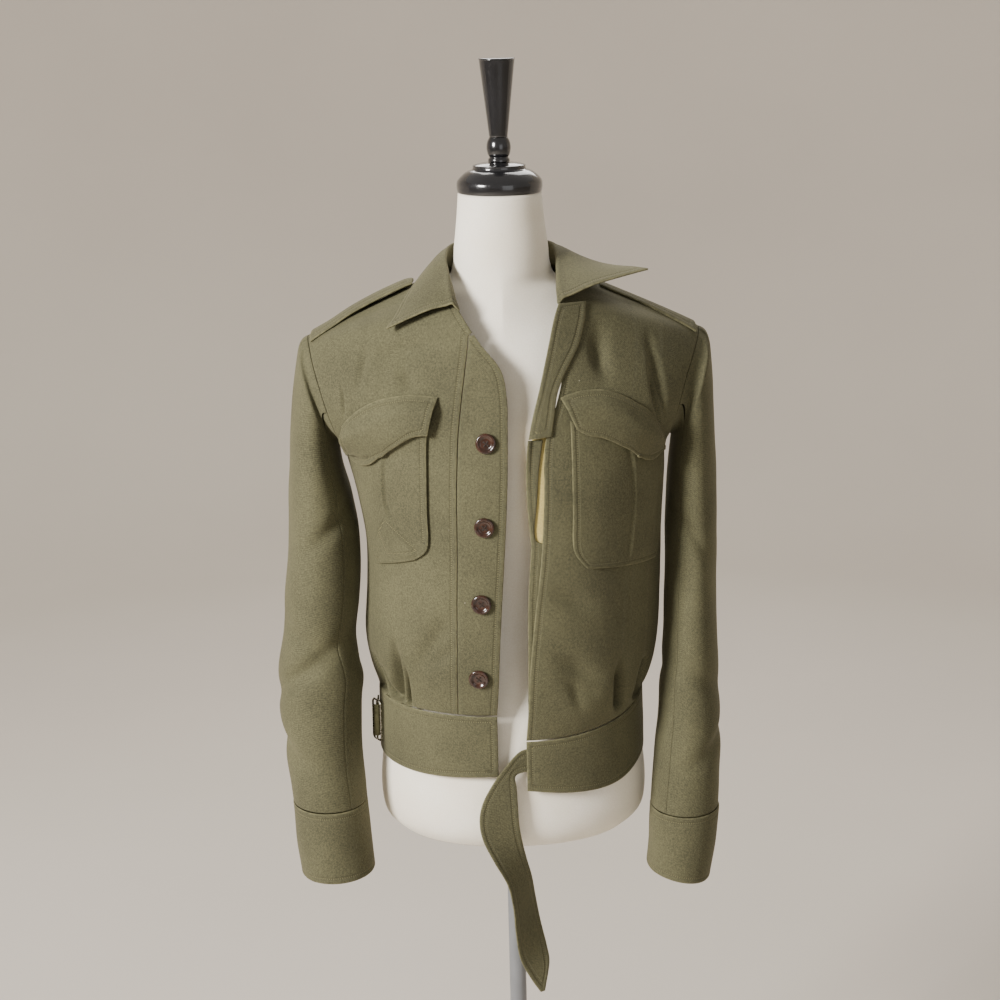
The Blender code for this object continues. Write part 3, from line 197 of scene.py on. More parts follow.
# Sleeve rings: the outermost and innermost points, and the half depth front to back.
Ring = namedtuple("Ring", "x_out z_out x_in z_in y half_depth")
RIGHT_SLEEVE = [
    Ring(0.2340, 1.226, 0.1920, 1.1200, 0.009, 0.066),
    Ring(0.2420, 1.178, 0.1880, 1.0900, 0.009, 0.067),
    Ring(0.2475, 1.120, 0.1795, 1.0600, 0.007, 0.066),
    Ring(0.2515, 1.065, 0.1730, 1.0250, 0.003, 0.064),
    Ring(0.2545, 1.005, 0.1715, 0.9850, -0.003, 0.061),
    Ring(0.2610, 0.950, 0.1745, 0.9380, -0.010, 0.059),
    Ring(0.2640, 0.905, 0.1800, 0.8960, -0.017, 0.057),
    Ring(0.2710, 0.862, 0.1715, 0.8580, -0.023, 0.055),
    Ring(0.2720, 0.825, 0.1750, 0.8220, -0.030, 0.053),
    Ring(0.2665, 0.768, 0.1765, 0.7660, -0.040, 0.050),
    Ring(0.2590, 0.708, 0.1725, 0.7070, -0.049, 0.047),
]
LEFT_SLEEVE = [
    Ring(0.2345, 1.226, 0.1915, 1.1200, 0.009, 0.067),
    Ring(0.2380, 1.178, 0.1880, 1.0900, 0.009, 0.069),
    Ring(0.2400, 1.120, 0.1850, 1.0600, 0.007, 0.070),
    Ring(0.2420, 1.060, 0.1835, 1.0250, 0.003, 0.069),
    Ring(0.2415, 1.000, 0.1825, 0.9830, -0.003, 0.067),
    Ring(0.2405, 0.945, 0.1810, 0.9330, -0.010, 0.064),
    Ring(0.2415, 0.895, 0.1785, 0.8870, -0.017, 0.061),
    Ring(0.2425, 0.850, 0.1745, 0.8450, -0.024, 0.058),
    Ring(0.2440, 0.800, 0.1715, 0.7970, -0.032, 0.054),
    Ring(0.2435, 0.752, 0.1660, 0.7500, -0.040, 0.050),
    Ring(0.2400, 0.6915, 0.1605, 0.6925, -0.050, 0.047),
]
CUFF_RIGHT = [
    Ring(0.2600, 0.7070, 0.1720, 0.7060, -0.0490, 0.0480),
    Ring(0.2590, 0.6980, 0.1715, 0.6970, -0.0505, 0.0480),
    Ring(0.2570, 0.6610, 0.1690, 0.6600, -0.0550, 0.0470),
    Ring(0.2525, 0.6210, 0.1655, 0.6240, -0.0600, 0.0455),
]
CUFF_LEFT = [
    Ring(0.2410, 0.6905, 0.1600, 0.6915, -0.0500, 0.0480),
    Ring(0.2405, 0.6820, 0.1595, 0.6830, -0.0510, 0.0480),
    Ring(0.2360, 0.6430, 0.1575, 0.6470, -0.0560, 0.0465),
    Ring(0.2295, 0.6050, 0.1550, 0.6200, -0.0600, 0.0445),
]
AROUND = 14  # columns in half a sleeve, two for each level of the armhole
SLEEVE_SEAM = 10  # the column where the top sleeve ends and the under sleeve starts
HEAD_LIFT = 0.0028  # the sleeve's first step on past the armhole seam
# Creases of a sleeve: angle from the outer side towards the front, height, slope, half length
# in degrees, half width and depth.
Crease = namedtuple("Crease", "side angle z slope reach width depth")
CREASES = [
    Crease(RIGHT, 60, 0.865, 0.030, 65, 0.013, 0.0080),
    Crease(RIGHT, 75, 0.905, -0.020, 45, 0.012, 0.0056),
    Crease(RIGHT, 20, 0.780, -0.022, 60, 0.014, 0.0056),
    Crease(RIGHT, -120, 0.880, 0.015, 60, 0.014, 0.0072),
    Crease(RIGHT, 110, 1.035, 0.030, 40, 0.012, 0.0056),
    Crease(LEFT, 70, 0.850, 0.018, 60, 0.013, 0.0056),
    Crease(LEFT, 95, 1.020, 0.035, 40, 0.013, 0.0056),
    Crease(LEFT, -115, 0.870, 0.018, 60, 0.014, 0.0072),
    Crease(LEFT, 40, 0.770, -0.020, 50, 0.013, 0.0048),
]

# Collar stations from the right front round the neck: where on the neckline, the fold line and
# the outer edge.
Station = namedtuple("Station", "fold edge")
COLLAR = [
    Station((-0.0545, -0.0965, 1.2960), (-0.1260, -0.0865, 1.2690)),
    Station((-0.0575, -0.0720, 1.3100), (-0.1180, -0.0715, 1.2780)),
    Station((-0.0600, -0.0400, 1.3230), (-0.1080, -0.0480, 1.2930)),
    Station((-0.0630, -0.0050, 1.3350), (-0.0960, -0.0160, 1.3070)),
    Station((-0.0560, 0.0340, 1.3410), (-0.0810, 0.0320, 1.3155)),
    Station((-0.0330, 0.0620, 1.3430), (-0.0480, 0.0810, 1.3115)),
    Station((0.0000, 0.0740, 1.3440), (0.0000, 0.1010, 1.3030)),
    Station((0.0330, 0.0620, 1.3430), (0.0500, 0.0820, 1.3130)),
    Station((0.0570, 0.0350, 1.3410), (0.0830, 0.0370, 1.3190)),
    Station((0.0620, 0.0000, 1.3370), (0.1060, 0.0050, 1.3210)),
    Station((0.0620, -0.0350, 1.3230), (0.1280, -0.0160, 1.3205)),
    Station((0.0630, -0.0680, 1.3090), (0.1480, -0.0360, 1.3215)),
    Station((0.0660, -0.0920, 1.2990), (0.1600, -0.0500, 1.3215)),
]

# Strips and patches in front view: inner and outer side of each row, bottom to top.
Patch = namedtuple("Patch", "x1 z1 x2 z2")
STAND_TOP = 11.25  # the level where the button stand meets the neckline
STAND_GAP = 0.0012  # half its seam's gap, as a share of the front
# How far right of the middle the stand's seam lies, at each level up to there.
STAND_SEAM = [
    *(0.0610, 0.0605, 0.0600, 0.0585, 0.0565, 0.0555),
    *(0.0545, 0.0530, 0.0510, 0.0470, 0.0425, 0.0385, 0.0360),
]
FLY = [
    Patch(0.0175, 0.8045, 0.034, 0.8145),
    Patch(0.0180, 0.850, 0.040, 0.850),
    Patch(0.0190, 0.910, 0.044, 0.910),
    Patch(0.0200, 0.970, 0.046, 0.970),
    Patch(0.0240, 1.030, 0.0440, 1.030),
    Patch(0.0235, 1.0430, 0.0290, 1.0430),
    Patch(0.0205, 1.085, 0.0320, 1.085),
    Patch(0.0205, 1.120, 0.0350, 1.120),
    Patch(0.0235, 1.1520, 0.0400, 1.1520),
]
LINING = [
    Patch(0.0240, 1.035, 0.060, 1.035),
    Patch(0.0240, 1.064, 0.062, 1.064),
    Patch(0.0245, 1.090, 0.064, 1.090),
    Patch(0.0260, 1.120, 0.066, 1.120),
    Patch(0.0290, 1.165, 0.070, 1.165),
]
LAPEL = [
    Patch(0.0240, 1.1530, 0.0490, 1.1560),
    Patch(0.0290, 1.178, 0.0525, 1.180),
    Patch(0.0355, 1.203, 0.0565, 1.203),
    Patch(0.0415, 1.228, 0.0665, 1.226),
    Patch(0.0475, 1.253, 0.0790, 1.249),
    Patch(0.0535, 1.278, 0.0870, 1.274),
    Patch(0.0590, 1.2920, 0.0895, 1.2905),
]
POCKET_RIGHT = [
    Patch(-0.102, 1.0150, -0.146, 0.9985),
    Patch(-0.0875, 1.0310, -0.1535, 1.0180),
    Patch(-0.0865, 1.070, -0.1590, 1.062),
    Patch(-0.0860, 1.110, -0.1640, 1.100),
    Patch(-0.0850, 1.150, -0.1740, 1.140),
    Patch(-0.0820, 1.172, -0.1730, 1.148),
]
POCKET_LEFT = [
    Patch(0.0850, 1.0065, 0.1640, 0.9965),
    Patch(0.0705, 1.0290, 0.1690, 1.020),
    Patch(0.0700, 1.070, 0.1720, 1.062),
    Patch(0.0700, 1.110, 0.1740, 1.100),
    Patch(0.0695, 1.150, 0.1740, 1.136),
    Patch(0.0690, 1.172, 0.1740, 1.144),
]
# A flap's columns from its inner to its outer end: bottom and top.
Column = namedtuple("Column", "x_low z_low x_high z_high")
FLAP_RIGHT = [
    Column(-0.0820, 1.1580, -0.0720, 1.1985),
    Column(-0.0950, 1.1570, -0.0880, 1.2000),
    Column(-0.1080, 1.1510, -0.1040, 1.2000),
    Column(-0.1220, 1.1400, -0.1200, 1.1975),
    Column(-0.1350, 1.1260, -0.1360, 1.1935),
    Column(-0.1490, 1.1170, -0.1520, 1.1860),
    Column(-0.1640, 1.1190, -0.1680, 1.1740),
    Column(-0.1760, 1.1310, -0.1800, 1.1600),
]
FLAP_LEFT = [
    Column(0.0740, 1.1630, 0.0590, 1.1970),
    Column(0.0870, 1.1550, 0.0760, 1.2020),
    Column(0.1010, 1.1520, 0.0930, 1.2030),
    Column(0.1160, 1.1440, 0.1090, 1.2010),
    Column(0.1300, 1.1340, 0.1250, 1.1950),
    Column(0.1430, 1.1200, 0.1400, 1.1860),
    Column(0.1560, 1.1160, 0.1550, 1.1750),
    Column(0.1700, 1.1230, 0.1690, 1.1560),
]
# How far out the pleat's inner edge lies at each row of the pocket, and its outer edge beyond it.
PLEAT_EDGE = {
    RIGHT: [(0.0930,), (0.1040,), (0.1290,), (0.1335,), (0.1290,), (0.1250,)],
    LEFT: [(0.1310,), (0.1325,), (0.1365,), (0.1365,), (0.1320,), (0.1300,)],
}
# The corners of the stitched box that holds the pleat's foot, as distance out and height.
PLEAT_BOX = [(0.1368, 1.0559), (0.1449, 1.0386), (0.1357, 1.0153), (0.1011, 1.0262)]
PLEAT_RISE = 0.0018
FLAP_GAP = 0.0042  # between a flap and its pocket

BUTTON_PLACES = [(-0.0215, 1.150), (-0.0255, 1.058), (-0.0310, 0.970), (-0.0360, 0.882)]

# The waistband's hem: how far each point lies below the waist seam, from front edge to back.
HEM_RIGHT = [0.0735, 0.0765, 0.0785, 0.0785, 0.0790]
HEM_LEFT = [0.0610, 0.0700, 0.0780, 0.0780, 0.0790]
HEM_BACK = 0.0800

# The belt's loose end: both edges down its length.
Strap = namedtuple("Strap", "x1 y1 z1 x2 y2 z2")
STRAP = [
    Strap(0.024, -0.1210, 0.792, 0.026, -0.1210, 0.764),
    Strap(0.008, -0.1248, 0.790, 0.010, -0.1248, 0.764),
    Strap(-0.008, -0.1300, 0.775, 0.0020, -0.1270, 0.760),
    Strap(-0.024, -0.1330, 0.754, 0.0030, -0.1290, 0.748),
    Strap(-0.036, -0.1360, 0.732, 0.0040, -0.1310, 0.726),
    Strap(-0.040, -0.1390, 0.711, 0.0050, -0.1300, 0.704),
    Strap(-0.036, -0.1410, 0.688, 0.0080, -0.1260, 0.682),
    Strap(-0.023, -0.1420, 0.660, 0.0130, -0.1180, 0.656),
    Strap(-0.009, -0.1400, 0.632, 0.0190, -0.1070, 0.628),
    Strap(-0.003, -0.1390, 0.602, 0.0230, -0.1030, 0.600),
    Strap(-0.001, -0.1370, 0.570, 0.0280, -0.1040, 0.570),
    Strap(0.003, -0.1340, 0.536, 0.0350, -0.1090, 0.538),
    Strap(0.015, -0.1300, 0.508, 0.0370, -0.1150, 0.520),
    Strap(0.026, -0.1270, 0.489, 0.0310, -0.1250, 0.490),
]

# Shoulder straps: distance from the middle, height above the shoulder seam, half width.
Tab = namedtuple("Tab", "x rise half_width")
TAB_RIGHT = [
    Tab(0.2155, 0.0000, 0.022),
    Tab(0.1950, 0.0020, 0.022),
    Tab(0.1700, 0.0065, 0.021),
    Tab(0.1400, 0.0085, 0.020),
    Tab(0.1150, 0.0080, 0.019),
    Tab(0.1060, 0.0070, 0.018),
    Tab(0.1005, 0.0052, 0.017),
]
TAB_LEFT = [
    Tab(0.2160, 0.0000, 0.022),
    Tab(0.1950, 0.0008, 0.022),
    Tab(0.1700, 0.0012, 0.021),
    Tab(0.1450, 0.0012, 0.020),
    Tab(0.1200, 0.0010, 0.019),
    Tab(0.1100, 0.0006, 0.017),
]

# The dress form's rings, top to bottom: half width, depths, height and squareness.
Section = namedtuple("Section", "z half_width front back power")
FORM = [
    Section(1.4040, 0.0465, 0.0465, 0.0465, 2.0),
    Section(1.3750, 0.0490, 0.0500, 0.0480, 2.0),
    Section(1.3450, 0.0525, 0.0560, 0.0500, 2.0),
    Section(1.3250, 0.0545, 0.0600, 0.0510, 1.9),
    Section(1.3100, 0.0640, 0.0660, 0.0540, 1.6),
    Section(1.2950, 0.1105, 0.0740, 0.0590, 1.30),
    Section(1.2800, 0.1450, 0.0810, 0.0650, 1.25),
    Section(1.2680, 0.1600, 0.0860, 0.0710, 1.35),
    Section(1.2500, 0.1680, 0.0930, 0.0790, 1.6),
    Section(1.2200, 0.1660, 0.1020, 0.0880, 1.9),
    Section(1.1800, 0.1580, 0.1110, 0.0950, 2.1),
    Section(1.1300, 0.1520, 0.1190, 0.0980, 2.2),
    Section(1.0000, 0.1380, 0.1080, 0.0920, 2.1),
    Section(0.9300, 0.1270, 0.0980, 0.0890, 2.0),
    Section(0.8700, 0.1350, 0.1010, 0.0930, 2.0),
    Section(0.8200, 0.1470, 0.1090, 0.0960, 2.0),
    Section(0.7700, 0.1520, 0.1150, 0.1000, 2.0),
    Section(0.7250, 0.1570, 0.1170, 0.1060, 2.05),
    Section(0.6950, 0.1570, 0.1150, 0.1060, 2.05),
    Section(0.6750, 0.1520, 0.1080, 0.1010, 2.05),
    Section(0.6600, 0.1360, 0.0950, 0.0880, 2.1),
]
BACK_OUTER = FRONT_OUTER[:ARMPIT] + BACK_ARMHOLE
FORM_BOTTOM = 0.655
FORM_TOP = 1.404
FINIAL_TOP = 1.550


# The surfaces that the cloth lies on


def spline(rows: Sequence[Sequence[float]], t: float) -> list[float]:
    """The values of a table at t on a smooth curve through its rows.

    Args:
        rows: The table, one sequence of numbers a row.
        t: The place, counted in rows.

    Returns:
        One number for each column of the table.
    """
    last = len(rows) - 1
    t = min(max(t, 0.0), last)
    i = min(int(t), last - 1)
    f = t - i
    a, b, c, d = (rows[min(max(k, 0), last)] for k in (i - 1, i, i + 1, i + 2))
    f2, f3 = f * f, f * f * f
    return [
        0.5 * (2 * q + (r - p) * f + (2 * p - 5 * q + 4 * r - s) * f2 + (3 * q - p - 3 * r + s) * f3)
        for p, q, r, s in zip(a, b, c, d)
    ]


def smooth(share: float) -> float:
    """A soft step from 0 to 1."""
    share = min(max(share, 0.0), 1.0)
    return share * share * (3 - 2 * share)


def bell(value: float) -> float:
    """A soft bump of height 1 round 0."""
    return math.exp(-value * value)


@dataclass
class Torso:
    """The body of the jacket: two fronts and a back, with their tucks and drapes.

    Attributes:
        crown: How rough the cloth lies, in metres, where nothing folds it.
        tuck_reach: The tuned radius that turns x into a distance round the body.
    """

    crown: float = 0.0007
    tuck_reach: float = 0.182
    last_found: dict[int, tuple[float, float]] = field(default_factory=dict)

    @staticmethod
    def crest(t: float) -> float:
        """Levels the last stretch below the shoulder seam, so that front and back meet flat."""
        return t if t < TOP - 1 else TOP - (TOP - t) ** 2

    @staticmethod
    def bowed(inner: Sequence[float], outer: Sequence[float], share: float, roundness: float) -> Vector:
        """A level's line from its inner to its outer point.

        Args:
            inner: The end at the front edge or the spine.
            outer: The end at the side.
            share: How far along, from 0 to 1.
            roundness: 0 for a straight line, 1 for a quarter of an ellipse.

        Returns:
            The point there.
        """
        turn = share * math.pi / 2
        across = share + (math.sin(turn) - share) * roundness
        back = share + (1 - math.cos(turn) - share) * roundness
        rise = share + (share * share - share) * roundness
        return Vector(
            (
                inner[0] + (outer[0] - inner[0]) * across,
                inner[1] + (outer[1] - inner[1]) * back,
                inner[2] + (outer[2] - inner[2]) * rise,
            )
        )

    def front_outer(self, side: int, t: float) -> tuple[tuple[float, float, float], float]:
        """The side end of a front's level, and how round the level is."""
        x_right, x_left, y, z, roundness = spline(FRONT_OUTER, t)
        if t <= ARMPIT:
            y = 0.0
        if t > TOP - 1:
            z = spline(FRONT_OUTER, self.crest(t))[3]
        return (-x_right if side == RIGHT else x_left, y, z), roundness

    def back_outer(self, side: int, t: float) -> tuple[tuple[float, float, float], float]:
        """The side end of a back's level, and how round the level is."""
        if t <= ARMPIT:
            return self.front_outer(side, t)
        x_right, x_left, y, z, roundness = spline(BACK_OUTER, t)
        return (-x_right if side == RIGHT else x_left, y, z), roundness

    def arc(self, x: float) -> float:
        """The distance round the torso from its middle line to the point x off the middle."""
        return self.tuck_reach * math.asin(min(max(x / self.tuck_reach, -1), 1))

    def fold_depth(self, side: int, face: int, point: Vector, t: float, share: float) -> float:
        """How far tucks, drapes and creases push a point of the torso inwards.

        Args:
            side: The wearer's side.
            face: Front or back.
            point: The point on the smooth form.
            t: Its level.
            share: How far it lies towards the side.

        Returns:
            The depth in metres, nothing on the panel's seams.
        """
        depth = 0.0
        here_u, here_z = self.arc(point.x), point.z
        for fold, start, along, squared in FOLD_LINES[(side, face)]:
            off_u, off_z = here_u - start[0], here_z - start[1]
            s = (off_u * along[0] + off_z * along[1]) / squared
            held = min(max(s, 0.0), 1.0)
            aside = math.hypot(off_u - along[0] * held, off_z - along[1] * held)
            if aside > 3 * fold.width:
                continue
            foot = 1.0 if fold.z1 < 0.84 else smooth((s + 0.25) / 0.9)
            depth += fold.depth * bell(aside / fold.width) * smooth((1.25 - s) / 0.9) * foot
        fade = smooth(t / 0.12) * smooth((1 - share) / 0.07) * smooth((TOP - t) / 0.6)
        rough = noise.noise(point * 21) * 0.7 + noise.noise(point * 63) * 0.3
        return depth * fade + self.crown * rough * fade

    @staticmethod
    def pressed(point: Vector, depth: float) -> Vector:
        """A point moved in towards the torso's axis."""
        inward = Vector((-point.x / 0.170**2, -point.y / 0.130**2, 0))
        return point + inward.normalized() * depth

    def smooth_front(self, side: int, t: float, share: float) -> Vector:
        """A point of a front before its folds: t counts the levels, share runs out to the side."""
        outer, roundness = self.front_outer(side, t)
        edges = RIGHT_EDGE if side == RIGHT else LEFT_EDGE
        inner = spline(edges, t)
        if t > TOP - 1:
            inner[2] = spline(edges, self.crest(t))[2]
        return self.bowed(inner, outer, share, roundness)

    def front(self, side: int, t: float, share: float) -> Vector:
        """A point of a front with its folds."""
        point = self.smooth_front(side, t, share)
        return self.pressed(point, self.fold_depth(side, FRONT, point, t, share))

    def neckline_back(self, side: int, share: float) -> Vector:
        """The back's top line: half the neckline, then the shoulder seam."""
        neck = Vector(RIGHT_EDGE[TOP] if side == RIGHT else LEFT_EDGE[TOP])
        if share >= NECK_POINT:
            tip = Vector(self.front_outer(side, TOP)[0])
            return neck.lerp(tip, (share - NECK_POINT) / (1 - NECK_POINT))
        turn = share / NECK_POINT * math.pi / 2
        middle = SPINE[TOP]
        y = neck.y + (middle.y - neck.y) * math.cos(turn)
        return Vector((neck.x * math.sin(turn), y, middle.z + (neck.z - middle.z) * math.sin(turn)))

    def back(self, side: int, t: float, share: float) -> Vector:
        """A point of the back: share runs from the spine to the side."""
        yoke = TOP - 2
        outer, roundness = self.back_outer(side, min(t, yoke))
        spine = spline(SPINE, min(t, yoke))
        point = self.bowed((0.0, spine[0], spine[1]), outer, share, roundness)
        if t > yoke:
            part = (t - yoke) / 2
            top = self.neckline_back(side, share)
            low = point
            point = low.lerp(top, part)
            point.z = low.z + (top.z - low.z) * (1 - (1 - part) ** 2)
        return self.pressed(point, self.fold_depth(side, BACK, point, t, share))

    def stand_share(self, t: float) -> float:
        """Where the button stand's seam crosses a level of the right front."""
        if t > STAND_TOP:
            return 0.0
        inner, outer = spline(RIGHT_EDGE, t), self.front_outer(RIGHT, t)[0]
        seam_x = -spline([(x,) for x in STAND_SEAM], t)[0]
        ratio = (seam_x - inner[0]) / (outer[0] - inner[0])
        roundness = self.front_outer(RIGHT, t)[1]
        share = ratio
        for _ in range(8):
            share -= (share + (math.sin(share * math.pi / 2) - share) * roundness - ratio) / 1.2
        return share

    def on_front(self, side: int, x: float, z: float, lift: float) -> Vector:
        """The point of a front that is seen at (x, z).

        Args:
            side: Which front.
            x: Across, as seen from the front.
            z: Height.
            lift: How far out of the front the point lies.

        Returns:
            The point, moved out along the front's normal.
        """
        t, share = self.last_found.get(side, (6.0, 0.5))
        step = 0.01
        for _ in range(14):
            here = self.smooth_front(side, t, share)
            miss_x, miss_z = x - here.x, z - here.z
            if abs(miss_x) + abs(miss_z) < 2e-5:
                break
            by_t = (self.smooth_front(side, t + step, share) - here) / step
            by_share = (self.smooth_front(side, t, share + step) - here) / step
            det = by_t.x * by_share.z - by_t.z * by_share.x
            if abs(det) < 1e-9:
                break
            step_t = (miss_x * by_share.z - miss_z * by_share.x) / det
            step_share = (by_t.x * miss_z - by_t.z * miss_x) / det
            t = min(max(t + min(max(step_t, -1.5), 1.5), 0), TOP - 0.12)
            share = min(max(share + min(max(step_share, -0.2), 0.2), -0.3), 0.98)
        self.last_found[side] = (t, share)
        wide = 10 * step
        across = self.front(side, t + wide, share) - self.front(side, t - wide, share)
        along = self.front(side, t, share + wide) - self.front(side, t, share - wide)
        normal = across.cross(along).normalized()
        if normal.y > 0:
            normal.negate()
        return self.front(side, t, share) + normal * lift


@dataclass
class SleeveForm:
    """A sleeve's surface, from the armhole seam to the cuff's hem.

    Attributes:
        torso: The body that it is sewn to.
        side: The wearer's side.
        clear: The gap at the armhole seam.
    """

    torso: Torso
    side: Side
    clear: float = 0.0006

    @property
    def rings(self) -> list[Ring]:
        """The rings of this side's sleeve."""
        return RIGHT_SLEEVE if self.side == RIGHT else LEFT_SLEEVE

    def armhole(self, column: float) -> tuple[Vector, Vector]:
        """A point of the armhole and the way the cloth runs on from it into the sleeve."""
        panel = self.torso.front if column >= 0 else self.torso.back
        level = TOP - abs(column) / 2
        edge = panel(self.side, level, 1)
        low, high = math.floor(level), math.ceil(level)
        inside = (panel(self.side, low, 0.985) + panel(self.side, high, 0.985)) / 2
        ends = (panel(self.side, low, 1) + panel(self.side, high, 1)) / 2
        run = (ends - inside).normalized()
        upward = Vector((0.25 * self.side, 0, 1)).normalized()
        part = min(max((ARMPIT + 2.5 - level) / 2.5, 0), 1)
        return edge, run.lerp(upward, part).normalized()

    def ring_point(self, rings: list[Ring], t: float, column: float) -> tuple[Vector, Vector]:
        """A point of the smooth sleeve, and the way in from it."""
        ring = Ring(*spline(rings, t))
        angle = math.pi * column / AROUND
        middle_x, middle_z = (ring.x_out + ring.x_in) / 2, (ring.z_out + ring.z_in) / 2
        half_x, half_z = (ring.x_out - ring.x_in) / 2, (ring.z_out - ring.z_in) / 2
        cosine, sine = math.cos(angle), math.sin(angle)
        x = self.side * (middle_x + half_x * cosine)
        inward = Vector((-self.side * cosine, sine, 0))
        return Vector((x, ring.y - ring.half_depth * sine, middle_z + half_z * cosine)), inward

    def crease_depth(self, column: float, z: float) -> float:
        """How far the creases press the sleeve in at an angle and height."""
        degrees = 180 * column / AROUND
        depth = 0.0
        for crease in CREASES:
            if crease.side != self.side:
                continue
            turn = (degrees - crease.angle + 180) % 360 - 180
            aside = (z - crease.z - crease.slope * turn / 60) / crease.width
            depth += crease.depth * bell(aside) * bell(turn / crease.reach)
        return depth

    def at(self, column: float, row: float) -> Vector:
        """A point of the sleeve.

        Args:
            column: Round the sleeve, 0 at the outer side and positive to the front.
            row: 0 at the armhole, 1 a first step on, 2 the first ring, then one for each ring.

        Returns:
            The point.
        """
        whole = column - 2 * AROUND * math.copysign(1, column) if abs(column) > AROUND else column
        if row >= 2:
            return self.ring_row(whole, row - 2)
        edge, run = self.armhole(whole)
        start = edge + run * (self.clear + HEAD_LIFT * min(row, 1))
        if row <= 1:
            return start
        end = self.ring_row(whole, 0)
        ahead = self.ring_row(whole, 0.3) - end
        reach = (end - start).length
        part = row - 1
        out, into = run * reach, ahead.normalized() * reach
        p2, p3 = part * part, part**3
        return (
            start * (2 * p3 - 3 * p2 + 1)
            + out * (p3 - 2 * p2 + part)
            + end * (3 * p2 - 2 * p3)
            + into * (p3 - p2)
        )

    def ring_row(self, column: float, t: float) -> Vector:
        """A point of the creased sleeve below its head."""
        point, inward = self.ring_point(self.rings, t, column)
        end = smooth((len(self.rings) - 1 - t) / 0.5)
        rough = 0.0009 * noise.noise(point * 24) * min(t, 1)
        return point + inward * (self.crease_depth(column, point.z) * end * smooth(t / 0.8) + rough * end)

    def cuff(self, column: float, row: float) -> Vector:
        """A point of the cuff, row 0 its seam and row 3 its hem."""
        rings = CUFF_RIGHT if self.side == RIGHT else CUFF_LEFT
        point, inward = self.ring_point(rings, row, column)
        return point + inward * 0.0007 * noise.noise(point * 30)


@dataclass
class Trims:
    """The surfaces of what is sewn to the torso: collar, waistband, straps and belt end."""

    torso: Torso

    def neckline(self, s: float) -> Vector:
        """The neckline at a collar station, from the right front round the back to the left."""
        last = len(COLLAR) - 1
        quarter = last / 4
        if s < quarter:
            return self.torso.front(RIGHT, TOP - 2 + 2 * s / quarter, 0)
        if s > last - quarter:
            return self.torso.front(LEFT, TOP - 2 + 2 * (last - s) / quarter, 0)
        share = abs(s - last / 2) / (last / 2 - quarter) * NECK_POINT
        return self.torso.neckline_back(RIGHT if s < last / 2 else LEFT, share)

    def collar(self, s: float, column: float) -> Vector:
        """Across the collar: up the stand, over the fold line and down the fall."""
        values = spline([station.fold + station.edge for station in COLLAR], s)
        foot = self.neckline(s) + Vector((0, 0, LAY))
        fold, edge = Vector(values[:3]), Vector(values[3:])
        fall = edge - fold
        up = Vector((0, 0, 1))
        stand = (fold - foot).length
        across = [
            foot,
            foot.lerp(fold, 0.55),
            fold,
            fold + fall * 0.10 + up * 0.0012 * min(stand / 0.02, 1),
            fold + fall * 0.35 + up * 0.0030,
            fold + fall * 0.68 + up * 0.0020,
            edge,
        ]
        return Vector(spline(across, column))

    def band(self, face: int, side: int, share: float, part: float) -> Vector:
        """A point of the waistband.

        Args:
            face: Front or back.
            side: The wearer's side.
            share: From the front edge or the spine to the side.
            part: From 0 at the waist seam to 1 at the hem.

        Returns:
            The point.
        """
        if face == FRONT:
            hem = HEM_RIGHT if side == RIGHT else HEM_LEFT
            top = self.torso.front(side, 0, share)
            drop = spline([(h,) for h in hem], share * (len(hem) - 1))[0]
        else:
            top = self.torso.back(side, 0, share)
            drop = HEM_LEFT[-1] + (HEM_BACK - HEM_LEFT[-1]) * (1 - share)
        low = Vector((top.x * 1.008, top.y * 1.004, top.z - drop))
        point = top.lerp(low, part) - Vector((0, 0, TURN * (1 - part)))
        ease = math.sin(part * math.pi) * 0.5 + part * 0.5
        return self.torso.pressed(point, 0.0011 * noise.noise(point * 26) * ease * smooth((1 - share) / 0.1))

    def shoulder_tab(self, side: int, row: float, part: float) -> Vector:
        """A shoulder strap: row counts its table, part runs across it from -1, the front, to 1."""
        rows = TAB_RIGHT if side == RIGHT else TAB_LEFT
        tab = Tab(*spline(rows, row))
        neck, tip = self.torso.neckline_back(side, NECK_POINT), self.torso.neckline_back(side, 1)
        along = (tab.x - abs(neck.x)) / (abs(tip.x) - abs(neck.x))
        ridge = neck.lerp(tip, along)
        panel = self.torso.front if part < 0 else self.torso.back
        share = along if part < 0 else NECK_POINT + (1 - NECK_POINT) * along
        high, low = float(TOP), float(TOP - 3)
        for _ in range(12):
            t = (high + low) / 2
            if abs(panel(side, t, share).y - ridge.y) < abs(part) * tab.half_width:
                high = t
            else:
                low = t
        point = panel(side, (high + low) / 2, share)
        return Vector((ridge.x, point.y, point.z + LAY + SEAM + tab.rise * (1 - 0.5 * part * part)))

    @staticmethod
    def belt(share: float, row: float) -> Vector:
        """A point of the belt's loose end."""
        x1, y1, z1, x2, y2, z2 = spline(STRAP, row)
        return Vector((x1, y1, z1)).lerp(Vector((x2, y2, z2)), share)

    def patch(self, side: int, rows: list[Patch], lift: Place) -> Place:
        """A patch on a front.

        Args:
            side: Which front.
            rows: The patch's sides, bottom to top.
            lift: How far out each (share, row) lies.

        Returns:
            The place of each (share, row).
        """

        def place(share: float, row: float) -> Vector:
            """One corner of the patch."""
            x1, z1, x2, z2 = spline(rows, row)
            return self.torso.on_front(side, x1 + (x2 - x1) * share, z1 + (z2 - z1) * share, lift(share, row))

        return place


